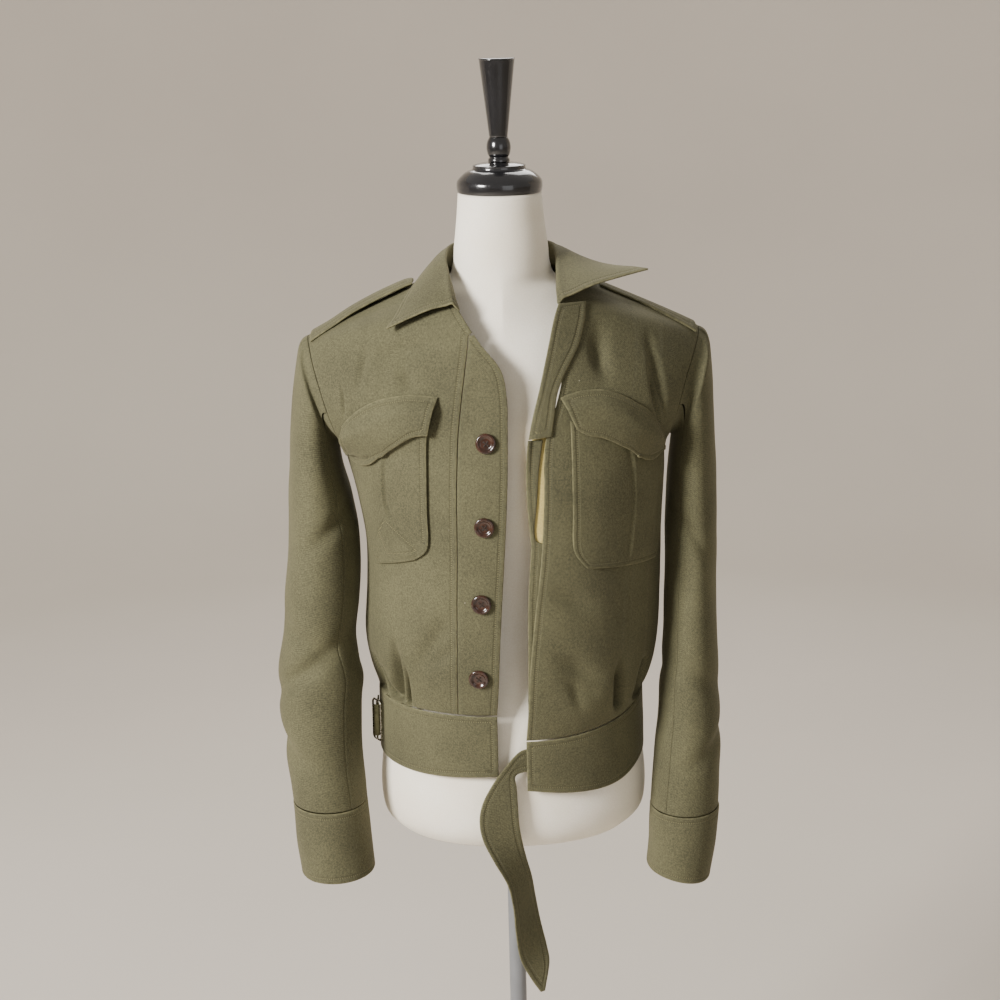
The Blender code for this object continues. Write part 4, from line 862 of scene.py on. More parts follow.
def fold_lines() -> dict[tuple[int, int], list[tuple[Fold, tuple[float, float], tuple[float, float], float]]]:
    """Each face's folds as lines in distance round the body and height."""
    lines: dict[tuple[int, int], list[tuple[Fold, tuple[float, float], tuple[float, float], float]]] = {}
    torso = Torso()
    for side in Side:
        for face in Face:
            lines[(side, face)] = []
    for fold in FOLDS:
        start = (torso.arc(fold.x1), fold.z1)
        along = (torso.arc(fold.x2) - start[0], fold.z2 - fold.z1)
        lines[(fold.side, fold.face)].append((fold, start, along, along[0] ** 2 + along[1] ** 2))
    return lines


FOLD_LINES = fold_lines()


# Finishes


def linear(code: str) -> tuple[float, float, float, float]:
    """The linear colour of an sRGB hex value."""
    values = [int(code[i : i + 2], 16) / 255 for i in (1, 3, 5)]
    red, green, blue = (v / 12.92 if v <= 0.04045 else ((v + 0.055) / 1.055) ** 2.4 for v in values)
    return red, green, blue, 1.0


def add_node(tree: bpy.types.NodeTree, kind: str, links: Optional[dict] = None, **settings) -> bpy.types.Node:
    """Adds a node with its settings and links.

    Args:
        tree: The material's node tree.
        kind: The node's type, without the words before it.
        links: What feeds each input: an output socket, or a plain value.
        settings: The node's own properties.

    Returns:
        The node.
    """
    made = tree.nodes.new("ShaderNode" + kind)
    for name, value in settings.items():
        setattr(made, name, value)
    for key, value in (links or {}).items():
        if isinstance(value, bpy.types.NodeSocket):
            tree.links.new(value, made.inputs[key])
        else:
            made.inputs[key].default_value = value
    return made


def blended(tree: bpy.types.NodeTree, share: object, low: object, high: object) -> bpy.types.NodeSocket:
    """A colour between two others."""
    made = add_node(tree, "Mix", {0: share, 6: low, 7: high}, data_type="RGBA")
    return made.outputs[2]


def figured(tree: bpy.types.NodeTree, operation: str, *values: object) -> bpy.types.NodeSocket:
    """The result of one sum."""
    made = add_node(tree, "Math", dict(enumerate(values)), operation=operation)
    return made.outputs[0]


def ranged(tree: bpy.types.NodeTree, value: object, low: float, high: float, start=0.0, end=1.0) -> bpy.types.NodeSocket:
    """A value's range turned into another one, held at its ends."""
    made = add_node(tree, "MapRange", {0: value, 1: low, 2: high, 3: start, 4: end})
    return made.outputs[0]


@dataclass(frozen=True)
class Finish:
    """What every finish has: the record's slot and the base shader's plain numbers.

    Attributes:
        slot: The material slot in the record; not used.
        name: The material's name.
        roughness: The shader's roughness.
        metallic: 1 for bare metal.
        sheen: How much the fibres catch the light.
        coat: A clear coat over the colour.
    """

    slot: str
    name: str
    roughness: float
    metallic: float = 0.0
    sheen: float = 0.0
    coat: float = 0.0
    ior: float = 1.5

    def material(self) -> bpy.types.Material:
        """The finish's material, made once."""
        made = bpy.data.materials.get(self.name)
        if made is None:
            made = bpy.data.materials.new(self.name)
            made.use_nodes = True
            shader = made.node_tree.nodes["Principled BSDF"]
            shader.inputs["Roughness"].default_value = self.roughness
            shader.inputs["Metallic"].default_value = self.metallic
            shader.inputs["Sheen Weight"].default_value = self.sheen
            shader.inputs["Sheen Roughness"].default_value = 0.45
            shader.inputs["Coat Weight"].default_value = self.coat
            shader.inputs["Coat Roughness"].default_value = 0.06
            if not self.metallic:
                shader.inputs["IOR"].default_value = self.ior
            self.dress(made.node_tree, shader)
        return made

    def dress(self, tree: bpy.types.NodeTree, shader: bpy.types.Node) -> None:
        """Adds the finish's colour and relief."""
        raise NotImplementedError


@dataclass(frozen=True)
class WovenCloth(Finish):
    """Cloth with a diagonal or plain weave, laid on the piece's own map in metres.

    Attributes:
        light: The colour of the raised yarn.
        dark: The colour between the yarns, and of the painted shade along stitched lines.
        worn: The rubbed colour along turned edges.
        thread: The colour of the top-stitching.
        pitch: The spacing of the weave's ridges, in millimetres.
        diagonal: Whether the ridges run aslant, as in twill.
        stitch_from: How far from a stitched edge the thread runs, in millimetres.
    """

    light: str = "#625f43"
    dark: str = "#373522"
    worn: str = "#7d7856"
    thread: str = "#77724f"
    pitch: float = 1.9
    diagonal: bool = True
    stitch_from: float = 6.5

    def dress(self, tree: bpy.types.NodeTree, shader: bpy.types.Node) -> None:
        """Adds the weave, its mottling, the rubbed edges, the stitches with painted shade in their groove and needle
        holes, and the lint.
        """
        weave = add_node(tree, "UVMap", uv_map="weave").outputs[0]
        place = add_node(tree, "TexCoord").outputs["Object"]
        border = add_node(tree, "Attribute", attribute_name="border").outputs["Fac"]
        along = add_node(tree, "Attribute", attribute_name="along").outputs["Fac"]
        parts = add_node(tree, "SeparateXYZ", {0: weave})
        turn = 2000 * math.pi / self.pitch
        wander = add_node(tree, "TexNoise", {"Vector": place, "Scale": 260.0, "Detail": 2.0}).outputs[0]
        wobble = figured(tree, "MULTIPLY", wander, 2.2)
        if self.diagonal:
            slant = figured(tree, "ADD", parts.outputs[0], parts.outputs[1])
            ridge = figured(tree, "SINE", figured(tree, "MULTIPLY_ADD", slant, turn, wobble))
        else:
            warp = figured(tree, "SINE", figured(tree, "MULTIPLY_ADD", parts.outputs[0], turn, wobble))
            weft = figured(tree, "SINE", figured(tree, "MULTIPLY", parts.outputs[1], turn))
            ridge = figured(tree, "MULTIPLY", warp, weft)
        yarn = figured(tree, "MULTIPLY_ADD", ridge, 0.5, 0.5)
        fleck = add_node(tree, "TexNoise", {"Vector": place, "Scale": 560.0, "Detail": 4.0}).outputs[0]
        cloud = add_node(tree, "TexNoise", {"Vector": place, "Scale": 14.0, "Detail": 4.0}).outputs[0]
        mixed = figured(tree, "MULTIPLY_ADD", fleck, 1.7, figured(tree, "MULTIPLY_ADD", yarn, 0.36, -0.55))
        shade = figured(tree, "ADD", mixed, ranged(tree, cloud, 0.3, 0.7, -0.16, 0.16))
        colour = blended(tree, shade, linear(self.dark), linear(self.light))
        rub = add_node(tree, "TexNoise", {"Vector": place, "Scale": 120.0, "Detail": 3.0}).outputs[0]
        edge = figured(tree, "MULTIPLY", ranged(tree, border, 0.0003, 0.0020, 0.50, 0.0), ranged(tree, rub, 0.35, 0.6))
        colour = blended(tree, edge, colour, linear(self.worn))
        # Machine stitches 2.6 mm long, with painted shade, near black, in the needle holes between them.
        off = figured(tree, "ABSOLUTE", figured(tree, "SUBTRACT", border, self.stitch_from / 1000))
        line = ranged(tree, off, 0.00045, 0.00085, 1.0, 0.0)
        beat = figured(tree, "SINE", figured(tree, "MULTIPLY", along, 2000 * math.pi / 2.6))
        dash = ranged(tree, beat, -0.75, -0.35)
        thread = figured(tree, "MULTIPLY", line, dash)
        hole = figured(tree, "MULTIPLY", line, figured(tree, "SUBTRACT", 1.0, dash))
        # Painted shade: the cloth is darkened towards the dark yarn colour along the stitched line, where its sunk
        # groove lies in shade.
        painted_groove_shade = ranged(tree, off, 0.0006, 0.0020, 0.38, 0.0)
        colour = blended(tree, painted_groove_shade, colour, linear(self.dark))
        colour = blended(tree, figured(tree, "MULTIPLY", thread, 0.55), colour, linear(self.thread))
        # Painted shade: the needle holes between the stitches are painted near black.
        colour = blended(tree, figured(tree, "MULTIPLY", hole, 0.8), colour, linear("#26231a"))
        # Lint and pale fibres, a fraction of a millimetre across.
        spots = add_node(tree, "TexVoronoi", {"Vector": place, "Scale": 62.0}, feature="F1")
        near = ranged(tree, spots.outputs["Distance"], 0.022, 0.040, 1.0, 0.0)
        chosen = ranged(tree, add_node(tree, "SeparateColor", {0: spots.outputs["Color"]}).outputs[0], 0.90, 0.93)
        lint = figured(tree, "MULTIPLY", figured(tree, "MULTIPLY", near, chosen), 0.55)
        colour = blended(tree, lint, colour, linear("#c9c2a8"))
        tree.links.new(colour, shader.inputs["Base Color"])
        shader.inputs["Sheen Tint"].default_value = linear("#b8b08a")
        trench = ranged(tree, off, 0.0, 0.0024, -1.0, 0.0)
        height = figured(tree, "MULTIPLY_ADD", yarn, 0.16, figured(tree, "MULTIPLY", fleck, 0.22))
        height = figured(tree, "MULTIPLY_ADD", trench, 1.2, height)
        height = figured(tree, "MULTIPLY_ADD", thread, 0.45, height)
        bump = add_node(tree, "Bump", {"Strength": 0.9, "Distance": 0.0006, "Height": height})
        tree.links.new(bump.outputs[0], shader.inputs["Normal"])


@dataclass(frozen=True)
class Jersey(Finish):
    """Cotton jersey stretched over the form: fine upright ribs, soft marks of handling."""

    def dress(self, tree: bpy.types.NodeTree, shader: bpy.types.Node) -> None:
        """Adds the ribs, the faint soiling and the knit's relief."""
        place = add_node(tree, "TexCoord").outputs["Object"]
        parts = add_node(tree, "SeparateXYZ", {0: place})
        marks = add_node(tree, "TexNoise", {"Vector": place, "Scale": 9.0, "Detail": 5.0}).outputs[0]
        fuzz = add_node(tree, "TexNoise", {"Vector": place, "Scale": 700.0, "Detail": 2.0}).outputs[0]
        angle = figured(tree, "ARCTAN2", parts.outputs[1], parts.outputs[0])
        rib = figured(tree, "SINE", figured(tree, "MULTIPLY", angle, 560.0))
        colour = blended(tree, ranged(tree, marks, 0.38, 0.72), linear("#f8f2e4"), linear("#eee4d0"))
        colour = blended(tree, ranged(tree, fuzz, 0.35, 0.75, 0.0, 0.35), colour, linear("#e2d6bf"))
        tree.links.new(colour, shader.inputs["Base Color"])
        height = figured(tree, "MULTIPLY_ADD", rib, 0.12, figured(tree, "MULTIPLY", fuzz, 0.5))
        bump = add_node(tree, "Bump", {"Strength": 0.5, "Distance": 0.0004, "Height": height})
        tree.links.new(bump.outputs[0], shader.inputs["Normal"])


@dataclass(frozen=True)
class Hard(Finish):
    """A smooth hard finish with cloudy colour and fine scuffs.

    Attributes:
        colour: The main colour.
        other: The colour that clouds it.
        cloud: The size of the clouds, in millimetres.
        scuff: How far the roughness changes over the surface.
        relief: The height of the fine relief, in millimetres.
    """

    colour: str = "#101012"
    other: str = "#18181b"
    cloud: float = 30.0
    scuff: float = 0.10
    relief: float = 0.02

    def dress(self, tree: bpy.types.NodeTree, shader: bpy.types.Node) -> None:
        """Adds the clouded colour, the scuffs and the fine relief."""
        place = add_node(tree, "TexCoord").outputs["Object"]
        cloud = add_node(tree, "TexNoise", {"Vector": place, "Scale": 1000 / self.cloud, "Detail": 4.0}).outputs[0]
        fine = add_node(tree, "TexNoise", {"Vector": place, "Scale": 420.0, "Detail": 3.0}).outputs[0]
        colour = blended(tree, ranged(tree, cloud, 0.35, 0.65), linear(self.colour), linear(self.other))
        tree.links.new(colour, shader.inputs["Base Color"])
        low, high = self.roughness - self.scuff / 2, self.roughness + self.scuff / 2
        tree.links.new(ranged(tree, fine, 0.35, 0.7, low, high), shader.inputs["Roughness"])
        bump = add_node(tree, "Bump", {"Strength": 0.35, "Distance": self.relief / 1000, "Height": fine})
        tree.links.new(bump.outputs[0], shader.inputs["Normal"])


# Wool serge, woven in a 2/2 twill: fine slanting ridges with a fibrous, matt bloom. The real
# ridges stand about 0.8 mm apart, and are drawn coarser so that they show.
WOOL = WovenCloth("wool_twill", "olive_wool_twill", 0.9, sheen=0.22)
# Plain cotton drill, smoother and paler than the wool.
DRILL = WovenCloth(
    "lining_cloth",
    "khaki_cotton_drill",
    0.82,
    light="#d2c17c",
    dark="#ab995a",
    worn="#d8c88a",
    thread="#c9b878",
    diagonal=False,
    stitch_from=3.0,
)
# Cotton jersey over wadding: matt, with a short soft nap.
JERSEY = Jersey("form_jersey", "cream_cotton_jersey", 0.88, sheen=0.12)
# Turned beech under gloss lacquer: black, with sharp highlights.
LACQUER = Hard("black_lacquer", "black_gloss_lacquer", 0.20, coat=0.8, scuff=0.12)
# Cast urea resin, polished: brown like horn, slightly see-through in look.
RESIN = Hard(
    "button_plastic", "brown_cast_resin", 0.24, coat=0.5, colour="#3a1c0c", other="#231006", cloud=9.0, relief=0.03
)
# Drawn steel wire, nickel plated: bright, with a dull skin from handling.
NICKEL = Hard(
    "buckle_steel", "nickel_plated_wire", 0.28, 1.0, colour="#b9b4a8", other="#8f8a80", cloud=6.0, scuff=0.2
)
# Powder-coated steel: even satin grey with a faint orange peel.
COATED_STEEL = Hard(
    "stand_steel", "grey_coated_steel", 0.42, colour="#77787a", other="#6e6f71", cloud=40.0, relief=0.06
)


# Building


def stations(start: float, end: float, length: float, step: float = 0.004) -> list[float]:
    """Values from start to end, close together at both ends where a turned edge rounds over.

    Args:
        start: The first value.
        end: The last value.
        length: The cloth's length between them, in metres.
        step: The spacing between the ends, in metres.

    Returns:
        The values.
    """
    near = [0.0, 0.0006, 0.0014, 0.0026]
    count = max(int((length - 2 * near[-1]) / step), 2)
    middle = [near[-1] + (length - 2 * near[-1]) * i / count for i in range(1, count)]
    lengths = near + middle + [length - value for value in reversed(near)]
    return [start + (end - start) * value / length for value in lengths]


def finished(made: bpy.types.Object, finish: Finish, *nodes: str) -> bpy.types.Object:
    """Gives a piece its material and body, and puts it in the place of its CAD nodes."""
    made.data.materials.clear()
    made.data.materials.append(finish.material())
    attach(made, "root")
    if nodes:
        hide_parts(*nodes)
    LOG.info("%s: %d faces", made.name, len(made.data.polygons))
    return made


@dataclass
class Sheet:
    """One piece of cloth.

    Attributes:
        node: The CAD node that it stands for, and its name.
        columns: The stations across it.
        rows: The stations along it.
        place: The point at each (column, row).
        behind: A point behind the cloth's middle.
        stitched: The borders with top-stitching: any of left, right, low and high.
        offset: -1 where the wall goes away from the eye, 1 where it comes towards it.
        closed: Whether the columns meet again.
        seam: How far a point lies outside a stitched figure on the cloth.
    """

    node: str
    columns: list[float]
    rows: list[float]
    place: Place
    behind: Callable[[Vector], Vector]
    stitched: str = ""
    offset: float = -1.0
    closed: bool = False
    finish: Finish = WOOL
    roll: float = 0.0007
    rests_on: Sequence[str] = ("form_body",)
    seam: Optional[Callable[[Vector], float]] = None

    def build(self) -> bpy.types.Object:
        """Makes the sheet, its map in metres, its turned edges and its wall.

        Returns:
            The piece.
        """
        across, along = len(self.columns) - 1, len(self.rows) - 1
        points = [[self.place(u, v) for v in self.rows] for u in self.columns]
        bm = bmesh.new()
        bmesh.ops.create_grid(bm, x_segments=across, y_segments=along, size=1.0)
        weave = bm.loops.layers.uv.new("weave")
        border = bm.verts.layers.float.new("border")
        beside = bm.verts.layers.float.new("along")
        spots = {}
        for corner in bm.verts:
            i = round((corner.co.x + 1) / 2 * across)
            k = round((corner.co.y + 1) / 2 * along)
            spots[corner] = (i, k)
            corner.co = points[i][k]
        run_u = [[0.0] * (along + 1) for _ in self.columns]
        run_v = [[0.0] * (along + 1) for _ in self.columns]
        for i in range(across + 1):
            for k in range(along + 1):
                if i:
                    run_u[i][k] = run_u[i - 1][k] + (points[i][k] - points[i - 1][k]).length
                if k:
                    run_v[i][k] = run_v[i][k - 1] + (points[i][k] - points[i][k - 1]).length
        bm.normal_update()
        sample = list(bm.faces)[:: max(len(bm.faces) // 40, 1)]
        aim = sum(f.normal.dot(f.calc_center_median() - self.behind(f.calc_center_median())) for f in sample)
        if aim < 0:
            bmesh.ops.reverse_faces(bm, faces=bm.faces)
        bm.normal_update()
        moves = {}
        for corner, (i, k) in spots.items():
            ends = {
                "left": (run_u[i][k], run_v[i][k]),
                "right": (run_u[across][k] - run_u[i][k], run_v[i][k]),
                "low": (run_v[i][k], run_u[i][k]),
                "high": (run_v[i][along] - run_v[i][k], run_u[i][k]),
            }
            if self.closed:
                ends.pop("left"), ends.pop("right")
            corner[border], corner[beside] = min((ends[name] for name in self.stitched.split()), default=(1, 0))
            past = self.seam(points[i][k]) if self.seam else 1.0
            if past < 0.012:
                corner[border], corner[beside] = 0.0065 + max(past, -0.0035), 0.6 * run_u[i][k] + run_v[i][k]
            near = min(value[0] for value in ends.values())
            moves[corner] = corner.normal * (-self.roll * max(1 - near / 0.002, 0) ** 2)
        for face in bm.faces:
            face.smooth = True
            for loop in face.loops:
                i, k = spots[loop.vert]
                loop[weave].uv = (run_u[i][k] - run_u[across][k] / 2, run_v[i][k])
        for corner, move in moves.items():
            corner.co += move
        if self.closed:
            bmesh.ops.remove_doubles(bm, verts=bm.verts, dist=0.00001)
        area = sum(face.calc_area() for face in bm.faces)
        mesh = bpy.data.meshes.new(self.node + "_cloth")
        bm.to_mesh(mesh)
        bm.free()
        made = bpy.data.objects.new(self.node + "_cloth", mesh)
        bpy.context.scene.collection.objects.link(made)
        wall = made.modifiers.new("Wall", "SOLIDIFY")
        wall.thickness = WALL - 0.0002
        wall.offset = self.offset
        wall.use_quality_normals = True
        finished(made, self.finish, self.node)
        return made


def at_axis(point: Vector) -> Vector:
    """The point of the torso's axis at a height."""
    return Vector((0, 0, point.z))


def further_back(point: Vector) -> Vector:
    """A point behind one that faces the front."""
    return point + Vector((0, 0.05, 0))


def spun(name: str, profile: Sequence[tuple[float, float]], finish: Finish, node: str, place: Optional[Matrix] = None, steps: int = 96) -> bpy.types.Object:
    """Turns a profile of (radius, height) round an upright axis.

    Args:
        name: The piece's name.
        profile: From the axis at the top down the outer side to the axis.
        finish: Its finish.
        node: The CAD node that it stands for.
        place: Where the axis goes.
        steps: How many faces go round.

    Returns:
        The piece.
    """
    bm = bmesh.new()
    corners = [bm.verts.new((radius, 0, height)) for radius, height in profile]
    edges = [bm.edges.new(pair) for pair in zip(corners, corners[1:])]
    bmesh.ops.spin(bm, geom=corners + edges, cent=(0, 0, 0), axis=(0, 0, 1), angle=math.tau, steps=steps, use_merge=True)
    bmesh.ops.remove_doubles(bm, verts=bm.verts, dist=0.000005)
    bmesh.ops.recalc_face_normals(bm, faces=bm.faces)
    if place is not None:
        bmesh.ops.transform(bm, matrix=place, verts=bm.verts)
    for face in bm.faces:
        face.smooth = True
    mesh = bpy.data.meshes.new(name)
    bm.to_mesh(mesh)
    bm.free()
    made = bpy.data.objects.new(name, mesh)
    bpy.context.scene.collection.objects.link(made)
    return finished(made, finish, node)


def rounded(profile: Sequence[tuple[float, float]], steps: int = 4) -> list[tuple[float, float]]:
    """A profile with a smooth curve through its points, but for its two ends at the axis."""
    middle = profile[1:-1]
    count = (len(middle) - 1) * steps
    curve = [tuple(spline(middle, i / steps)) for i in range(count + 1)]
    return [profile[0], *curve, profile[-1]]


@dataclass
class Jacket:
    """All cloth of the jacket, piece by piece."""

    torso: Torso = field(default_factory=Torso)
    pleat_rise: float = PLEAT_RISE

    def build(self) -> None:
        """Builds every piece."""
        self.trims = Trims(self.torso)
        self.panels()
        for side, word in ((RIGHT, "right"), (LEFT, "left")):
            self.sleeve(SleeveForm(self.torso, side), word)
            self.pocket(side, word)
            self.shoulder(side, word)
        self.waistband()
        self.opening()
        self.collar_and_belt()

    def panels(self) -> None:
        """The fronts, the button stand and the back."""
        torso = self.torso

        def drawn(panel: Callable[[float, float], Vector], toward: int) -> Place:
            """A panel drawn back from the side and shoulder seams by half the gap."""

            def place(share: float, t: float) -> Vector:
                """One corner of the panel."""
                point = panel(share, t)
                if abs(share) < 0.99 and t < TOP:
                    return point
                return point + Vector((0, toward * SEAM / 2, 0))

            return place

        def right_front(share: float, t: float) -> Vector:
            """The right front beside its button stand."""
            seam = torso.stand_share(t) + (STAND_GAP if t <= STAND_TOP else 0)
            return torso.front(RIGHT, t, seam + (1 - seam) * share if share < 1 else 1)

        rows = stations(0, TOP, 0.49, 0.0036)
        shares = stations(0, 1, 0.21, 0.0019)
        upper = [t for t in rows if t < STAND_TOP - 0.05] + stations(STAND_TOP - 0.05, STAND_TOP, 0.006)[1:]
        wide = stations(-1, 1, 0.47, 0.0040)
        sheets = (
            Sheet("front_right", shares, sorted(set(rows)), drawn(right_front, -1), at_axis, "left"),
            Sheet("front_left", shares, rows, drawn(lambda s, t: torso.front(LEFT, t, s), -1), at_axis, "left"),
            Sheet(
                "button_stand_right",
                stations(0, 1, 0.055),
                upper,
                lambda s, t: torso.front(RIGHT, t, (torso.stand_share(t) - STAND_GAP) * s),
                at_axis,
                "left",
            ),
            Sheet(
                "back_panel",
                wide,
                rows,
                drawn(lambda s, t: torso.back(RIGHT if s < 0 else LEFT, t, abs(s)), 1),
                at_axis,
            ),
        )
        for sheet in sheets:
            sheet.build()

    def sleeve(self, form: SleeveForm, word: str) -> None:
        """A top sleeve, an under sleeve and a cuff."""
        half_gap = 0.015
        rows = [0, 0.4, 1, *[1 + i / 9 for i in range(1, 9)], *stations(2, 12, 0.52, 0.0042)]
        axis = Vector((form.side * 0.212, -0.01, 0))

        def behind(point: Vector) -> Vector:
            """The sleeve's axis at a height."""
            ring = Ring(*spline(form.rings, min(max((1.2 - point.z) / 0.05, 0), 10)))
            return Vector((form.side * (ring.x_out + ring.x_in) / 2, ring.y, point.z)) + axis * 0

        for name, start, end, length in (
            ("top_sleeve_", -SLEEVE_SEAM, SLEEVE_SEAM, 0.26),
            ("under_sleeve_", SLEEVE_SEAM, 2 * AROUND - SLEEVE_SEAM, 0.12),
        ):
            columns = stations(start + half_gap, end - half_gap, length)
            Sheet(name + word, columns, rows, form.at, behind, rests_on=("back_panel",), roll=0.0004).build()
        around = [2 * AROUND * i / 96 for i in range(97)]
        heights = stations(0, 3, 0.087, 0.003)
        Sheet(
            "cuff_" + word, around, heights, form.cuff, behind, "low high", closed=True, rests_on=("back_panel",)
        ).build()

    def pocket(self, side: Side, word: str) -> None:
        """A patch pocket with its pleat, and its flap."""
        rows, flap_rows = (POCKET_RIGHT, FLAP_RIGHT) if side == RIGHT else (POCKET_LEFT, FLAP_LEFT)
        on_top = LAY + WALL

        def lift(share: float, row: float) -> float:
            """The pocket's height off the front: two soft steps make the box pleat."""
            x1, _, x2, _ = spline(rows, row)
            past = abs(x1 + (x2 - x1) * share) - spline(PLEAT_EDGE[side], row)[0]
            groove = 0.0011 * bell((past + 0.0016) / 0.0016)
            step = smooth(past / 0.0013) - 0.55 * smooth((past - 0.024) / 0.004)
            return on_top + 3 * SEAM + (self.pleat_rise * step - groove) * smooth((row - 0.35) / 0.5)

        def box(point: Vector) -> float:
            """How far a point lies outside the stitched box at the pleat's foot."""
            out = -1.0
            for (x1, z1), (x2, z2) in zip(PLEAT_BOX, PLEAT_BOX[1:] + PLEAT_BOX[:1]):
                length = math.hypot(x2 - x1, z2 - z1)
                aside = (abs(point.x) - x1) * (z2 - z1) - (point.z - z1) * (x2 - x1)
                out = max(out, -aside / length)
            return out

        front = ("front_" + word,)
        place = self.trims.patch(side, rows, lift)
        columns = stations(0, 1, 0.09, 0.0013)
        along = stations(0, len(rows) - 1, 0.175, 0.0036)
        Sheet("pocket_" + word, columns, along, place, further_back, "left right low", rests_on=front, seam=box if side == RIGHT else None).build()

        def flap(column: float, share: float) -> Vector:
            """A corner of the flap."""
            x1, z1, x2, z2 = spline(flap_rows, column)
            raised = on_top + (on_top + FLAP_GAP + PLEAT_RISE) * smooth((1 - share) / 0.4)
            raised -= 0.0016 * smooth((0.3 - share) / 0.3)
            return self.torso.on_front(side, x1 + (x2 - x1) * share, z1 + (z2 - z1) * share, raised)

        columns = stations(0, len(flap_rows) - 1, 0.13, 0.0028)
        Sheet(
            "pocket_flap_" + word,
            columns,
            stations(0, 1, 0.045, 0.0028),
            flap,
            further_back,
            "left right low high",
            rests_on=front,
        ).build()

    def shoulder(self, side: Side, word: str) -> None:
        """A shoulder strap."""
        count = len(TAB_RIGHT if side == RIGHT else TAB_LEFT) - 1
        Sheet(
            "shoulder_strap_" + word,
            stations(0, count, 0.12),
            stations(-1, 1, 0.044),
            lambda row, part: self.trims.shoulder_tab(side, row, part),
            lambda point: point - Vector((0, 0, 0.05)),
            "left right low high",
            1.0,
            rests_on=("back_panel",),
        ).build()

    def waistband(self) -> None:
        """The waistband's two fronts and its back."""
        band, parts = self.trims.band, stations(0, 1, 0.079, 0.003)
        for side, word in ((RIGHT, "right"), (LEFT, "left")):
            Sheet(
                "waistband_front_" + word,
                stations(0, 1, 0.19),
                parts,
                lambda s, p, side=side: band(FRONT, side, s, p) - Vector((0, SEAM / 2 if s == 1 else 0, 0)),
                at_axis,
                "left low high",
            ).build()
        Sheet(
            "waistband_back",
            stations(-1, 1, 0.36),
            parts,
            lambda s, p: band(BACK, RIGHT if s < 0 else LEFT, abs(s), p)
            + Vector((0, SEAM / 2 if abs(s) == 1 else 0, 0)),
            at_axis,
            "low high",
        ).build()

    def opening(self) -> None:
        """The fly strip, the strip of lining and the lapel on the left front."""
        under, on_top = -WALL - LAY, WALL + LAY

        def fly_lift(share: float, row: float) -> float:
            """The fly lies under the front and comes out to its edge at the top."""
            top = smooth((row - 6.0) / 2.0)
            return under * (1 - top * (1 - smooth(share / 0.5)))

        def lapel_lift(share: float, row: float) -> float:
            """The lapel rolls out of the front edge."""
            return (on_top + SEAM) * smooth(0.12 + share * 2.0 + row * 0.25)

        for node, rows, lift, borders, finish, length in (
            ("fly_strip_left", FLY, fly_lift, "left", WOOL, 0.35),
            ("lining_strip_left", LINING, lambda s, r: 2 * under, "", DRILL, 0.13),
            ("lapel_left", LAPEL, lapel_lift, "left right low high", WOOL, 0.15),
        ):
            Sheet(
                node,
                stations(0, 1, 0.03, 0.003),
                stations(0, len(rows) - 1, length),
                self.trims.patch(LEFT, rows, lift),
                further_back,
                borders,
                finish=finish,
                rests_on=("front_left",),
            ).build()

    def collar_and_belt(self) -> None:
        """The collar, the belt's loose end and the buckle's tab."""
        Sheet(
            "collar",
            stations(0, len(COLLAR) - 1, 0.5),
            stations(0, 6, 0.1, 0.003),
            self.trims.collar,
            lambda point: point - Vector((0, 0, 0.03)),
            "left right high",
            1.0,
            rests_on=("front_left", "back_panel"),
        ).build()
        Sheet(
            "belt_end",
            stations(0, 1, 0.03, 0.003),
            stations(0, len(STRAP) - 1, 0.33),
            self.trims.belt,
            further_back,
            "left right high",
            rests_on=("waistband_front_left",),
        ).build()


@dataclass
class Fastenings:
    """The buttons, with their thread, and the buckle.

    Attributes:
        torso: The body that carries them.
        radius: A button's radius.
        hole: A sewing hole's radius.
    """

    torso: Torso
    radius: float = 0.0112
    hole: float = 0.0011

    def build(self) -> None:
        """Builds the four buttons and dresses the buckle."""
        for number, (x, z) in enumerate(BUTTON_PLACES, 1):
            low, high = (self.torso.on_front(RIGHT, x, z, lift) for lift in (0, 0.01))
            normal = (high - low).normalized()
            place = Vector((0, 0, 1)).rotation_difference(normal).to_matrix().to_4x4()
            place.translation = low + normal * SEAM * 2
            self.button(number, place)
        for name, finish in (("buckle_frame", NICKEL), ("buckle_bar", NICKEL), ("buckle_tab", PLAIN_WOOL)):
            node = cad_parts[name]
            for slot in node.material_slots:
                slot.material = finish.material()

    def button(self, number: int, place: Matrix) -> None:
        """One button: a dished disc with a rolled rim, four holes and a cross of thread."""
        r = self.radius
        profile = [(0, 0.0022), (r * 0.05, 0.0022), (r * 0.45, 0.0021), (r * 0.60, 0.0026), (r * 0.74, 0.0038)]
        profile += [(r * 0.86, 0.0041), (r * 0.96, 0.0035), (r, 0.0022), (r * 0.93, 0.0009), (r * 0.7, 0.0004), (0, 0.0004)]
        spun("button_%d_disc" % number, rounded(profile), RESIN, "button_%d" % number, place, 48)
        bm = bmesh.new()
        for quarter in range(4):
            turn = Matrix.Rotation(math.tau * (quarter + 0.5) / 4, 4, "Z")
            spot = place @ turn @ Matrix.Translation((r * 0.26, 0, 0.0021))
            bmesh.ops.create_cone(
                bm, segments=16, radius1=self.hole, radius2=self.hole, depth=0.0004, cap_ends=True, matrix=spot
            )
        for turn in (math.pi / 4, -math.pi / 4):
            bar = place @ Matrix.Translation((0, 0, 0.0027)) @ Matrix.Rotation(turn, 4, "Z")
            bar = bar @ Matrix.Diagonal((0.0068, 0.0008, 0.0006, 1))
            bmesh.ops.create_cube(bm, size=1, matrix=bar)
        mesh = bpy.data.meshes.new("button_%d_thread" % number)
        bm.to_mesh(mesh)
        bm.free()
        made = bpy.data.objects.new(mesh.name, mesh)
        bpy.context.scene.collection.objects.link(made)
        finished(made, DARK_THREAD)


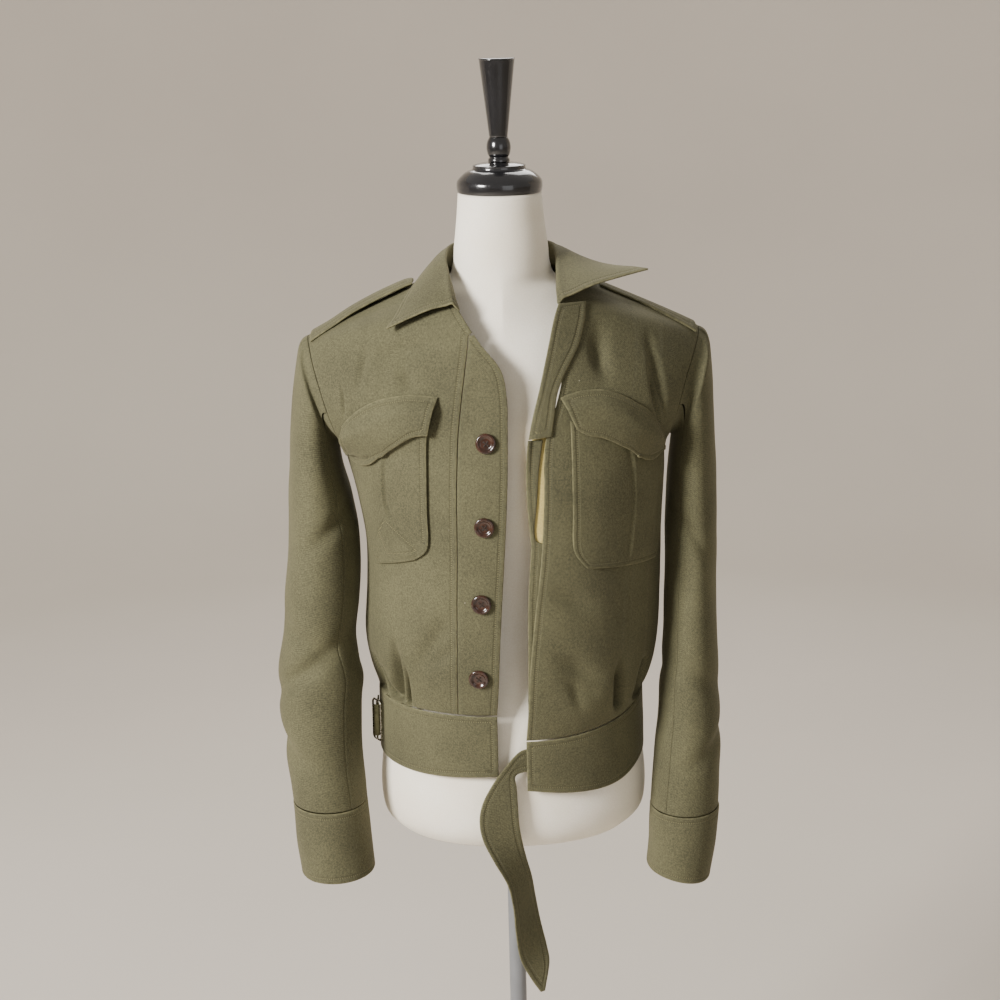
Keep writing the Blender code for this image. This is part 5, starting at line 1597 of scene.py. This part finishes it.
@dataclass
class DressForm:
    """The padded form, its cap and finial, and the stand under it."""

    sides: int = 128

    def build(self) -> None:
        """Builds the form and its stand."""
        self.body()
        cap = FORM_TOP + SEAM
        edge = [(0.0285, cap + 0.0300), (0.0292, cap + 0.0283), (0.0300, cap + 0.0255), (0.0345, cap + 0.0238)]
        lip = [(0.0400, cap + 0.0205), (0.0465, cap + 0.0140), (0.0478, cap + 0.0080), (0.0470, cap + 0.0015)]
        top = [(0, cap + 0.0330), (0.001, cap + 0.0330), (0.018, cap + 0.0325)]
        spun("cap_dome", rounded([*top, *edge, *lip, (0.0455, cap), (0, cap)]), LACQUER, "neck_cap")
        foot = cap + 0.0333
        head = [(0, FINIAL_TOP), (0.001, FINIAL_TOP), (0.0180, FINIAL_TOP - 0.0006), (0.0196, FINIAL_TOP - 0.0030)]
        neck = [(0.0190, FINIAL_TOP - 0.0080), (0.0104, foot + 0.0290), (0.0100, foot + 0.0270)]
        ball = [(0.0125, foot + 0.0220), (0.0135, foot + 0.0150), (0.0122, foot + 0.0080), (0.0104, foot + 0.0050)]
        end = [(0.0118, foot + 0.0030), (0.0120, foot), (0, foot)]
        spun("finial_turned", rounded([*head, *neck, *ball, *end]), LACQUER, "finial")
        top = 0.014
        plate = [(0, top + 0.012), (0.020, top + 0.012), (0.0225, top + 0.010), (0.024, top), (0.171, 0.0080)]
        plate += [(0.1738, 0.0068), (0.175, 0.0050), (0.175, 0.0015), (0.1735, 0), (0, 0)]
        spun("base_plate", plate, COATED_STEEL, "base", steps=128)
        low, high = top + 0.012 + SEAM, FORM_BOTTOM - SEAM
        pole = [(0, high), (0.0098, high), (0.0102, high - 0.0004), (0.0102, low), (0, low)]
        spun("pole_tube", pole, COATED_STEEL, "pole", steps=48)

    def body(self) -> None:
        """The padded body: its rings joined by a smooth curve."""
        rows = [tuple(section) for section in FORM]
        steps = 5
        count = (len(rows) - 1) * steps + 1
        bm = bmesh.new()
        bmesh.ops.create_uvsphere(bm, u_segments=self.sides, v_segments=count + 1, radius=1.0)
        for corner in bm.verts:
            ring = round(math.acos(max(min(corner.co.z, 1), -1)) / math.pi * (count + 1))
            if ring in (0, count + 1):
                corner.co = (0, 0, FORM_TOP if ring == 0 else FORM_BOTTOM)
                continue
            z, half_width, front, back, power = spline(rows, (ring - 1) / steps)
            angle = math.atan2(corner.co.y, corner.co.x)
            cosine, sine = math.cos(angle), math.sin(angle)
            x = math.copysign(abs(cosine) ** (2 / power), cosine) * half_width
            y = math.copysign(abs(sine) ** (2 / power), sine) * (back if sine > 0 else front)
            corner.co = (x, y, z)
        for face in bm.faces:
            face.smooth = True
        mesh = bpy.data.meshes.new("form_jersey_body")
        bm.to_mesh(mesh)
        bm.free()
        made = bpy.data.objects.new("form_jersey_body", mesh)
        bpy.context.scene.collection.objects.link(made)
        finished(made, JERSEY, "form_body")


@dataclass
class Studio:
    """The floor, the light and the camera."""

    def build(self) -> None:
        """Sets the pale floor, three soft lights, the sky and the camera."""
        bm = bmesh.new()
        bend = [math.radians(9 * i) for i in range(11)]
        outline = [(0, 0)] + [(3.2 + 1.4 * math.sin(a), 1.4 - 1.4 * math.cos(a)) for a in bend] + [(4.6, 4.4)]
        corners = [bm.verts.new((x, 0, z)) for x, z in outline]
        lines = [bm.edges.new(pair) for pair in zip(corners, corners[1:])]
        bmesh.ops.spin(bm, geom=corners + lines, cent=(0, 0, 0), axis=(0, 0, 1), angle=math.pi, steps=64)
        bmesh.ops.create_circle(bm, segments=64, radius=40, cap_ends=True, matrix=Matrix.Translation((0, 0, -0.004)))
        bmesh.ops.remove_doubles(bm, verts=bm.verts, dist=0.0001)
        for face in bm.faces:
            face.smooth = True
        mesh = bpy.data.meshes.new("floor")
        bm.to_mesh(mesh)
        bm.free()
        floor = bpy.data.objects.new("floor", mesh)
        bpy.context.scene.collection.objects.link(floor)
        floor_paper = Hard("stand_steel", "pale_studio_paper", 0.9, colour="#cfc7bc", other="#cbc3b8", cloud=900)
        mesh.materials.append(floor_paper.material())
        floor.location.z = -0.0005
        for name, spot, power, size, tint in (
            ("key", (-2.5, -2.0, 2.3), 250, 0.9, (1.0, 0.98, 0.95)),
            ("fill", (1.2, -3.0, 1.5), 9, 1.6, (0.95, 0.97, 1.0)),
            ("rim", (0.3, 2.2, 3.2), 60, 2.0, (1.0, 0.98, 0.95)),
        ):
            light = bpy.data.lights.new(name, "AREA")
            light.energy, light.size, light.color = power, size, tint
            lamp = bpy.data.objects.new(name, light)
            lamp.location = spot
            lamp.rotation_euler = (Vector(spot) - Vector((0, 0, 1.0))).to_track_quat("Z", "Y").to_euler()
            bpy.context.scene.collection.objects.link(lamp)
        world = bpy.data.worlds.new("studio_sky")
        world.use_nodes = True
        sky = world.node_tree.nodes["Background"]
        sky.inputs["Color"].default_value = linear("#cdc7bf")
        sky.inputs["Strength"].default_value = 0.75
        bpy.context.scene.world = world
        camera = bpy.data.cameras.new("photo_camera")
        camera.lens, camera.sensor_width = 69.84, 36
        made = bpy.data.objects.new("photo_camera", camera)
        turn = Euler((math.radians(75), 0, 0)).to_matrix().to_4x4() @ Matrix.Rotation(math.radians(-1.4), 4, "Z")
        made.matrix_world = Matrix.Translation((-0.008, -2.165, 1.631)) @ turn
        bpy.context.scene.collection.objects.link(made)
        bpy.context.scene.camera = made


PLAIN_WOOL = WovenCloth("wool_twill", "olive_wool_twill_unstitched", 0.9, sheen=0.22, stitch_from=-50)
# Waxed linen thread, nearly black in the buttons' holes.
DARK_THREAD = Hard("button_plastic", "dark_linen_thread", 0.7, colour="#1d120b", other="#2c1d12", cloud=2.0)


def main() -> None:
    """Builds the form, the jacket, its fastenings and the studio."""
    logging.basicConfig(level=logging.INFO, format="%(message)s")
    jacket = Jacket()
    for part in (DressForm(), jacket, Fastenings(jacket.torso), Studio()):
        part.build()
        LOG.info("%s built", type(part).__name__)


if __name__ == "__main__":
    main()
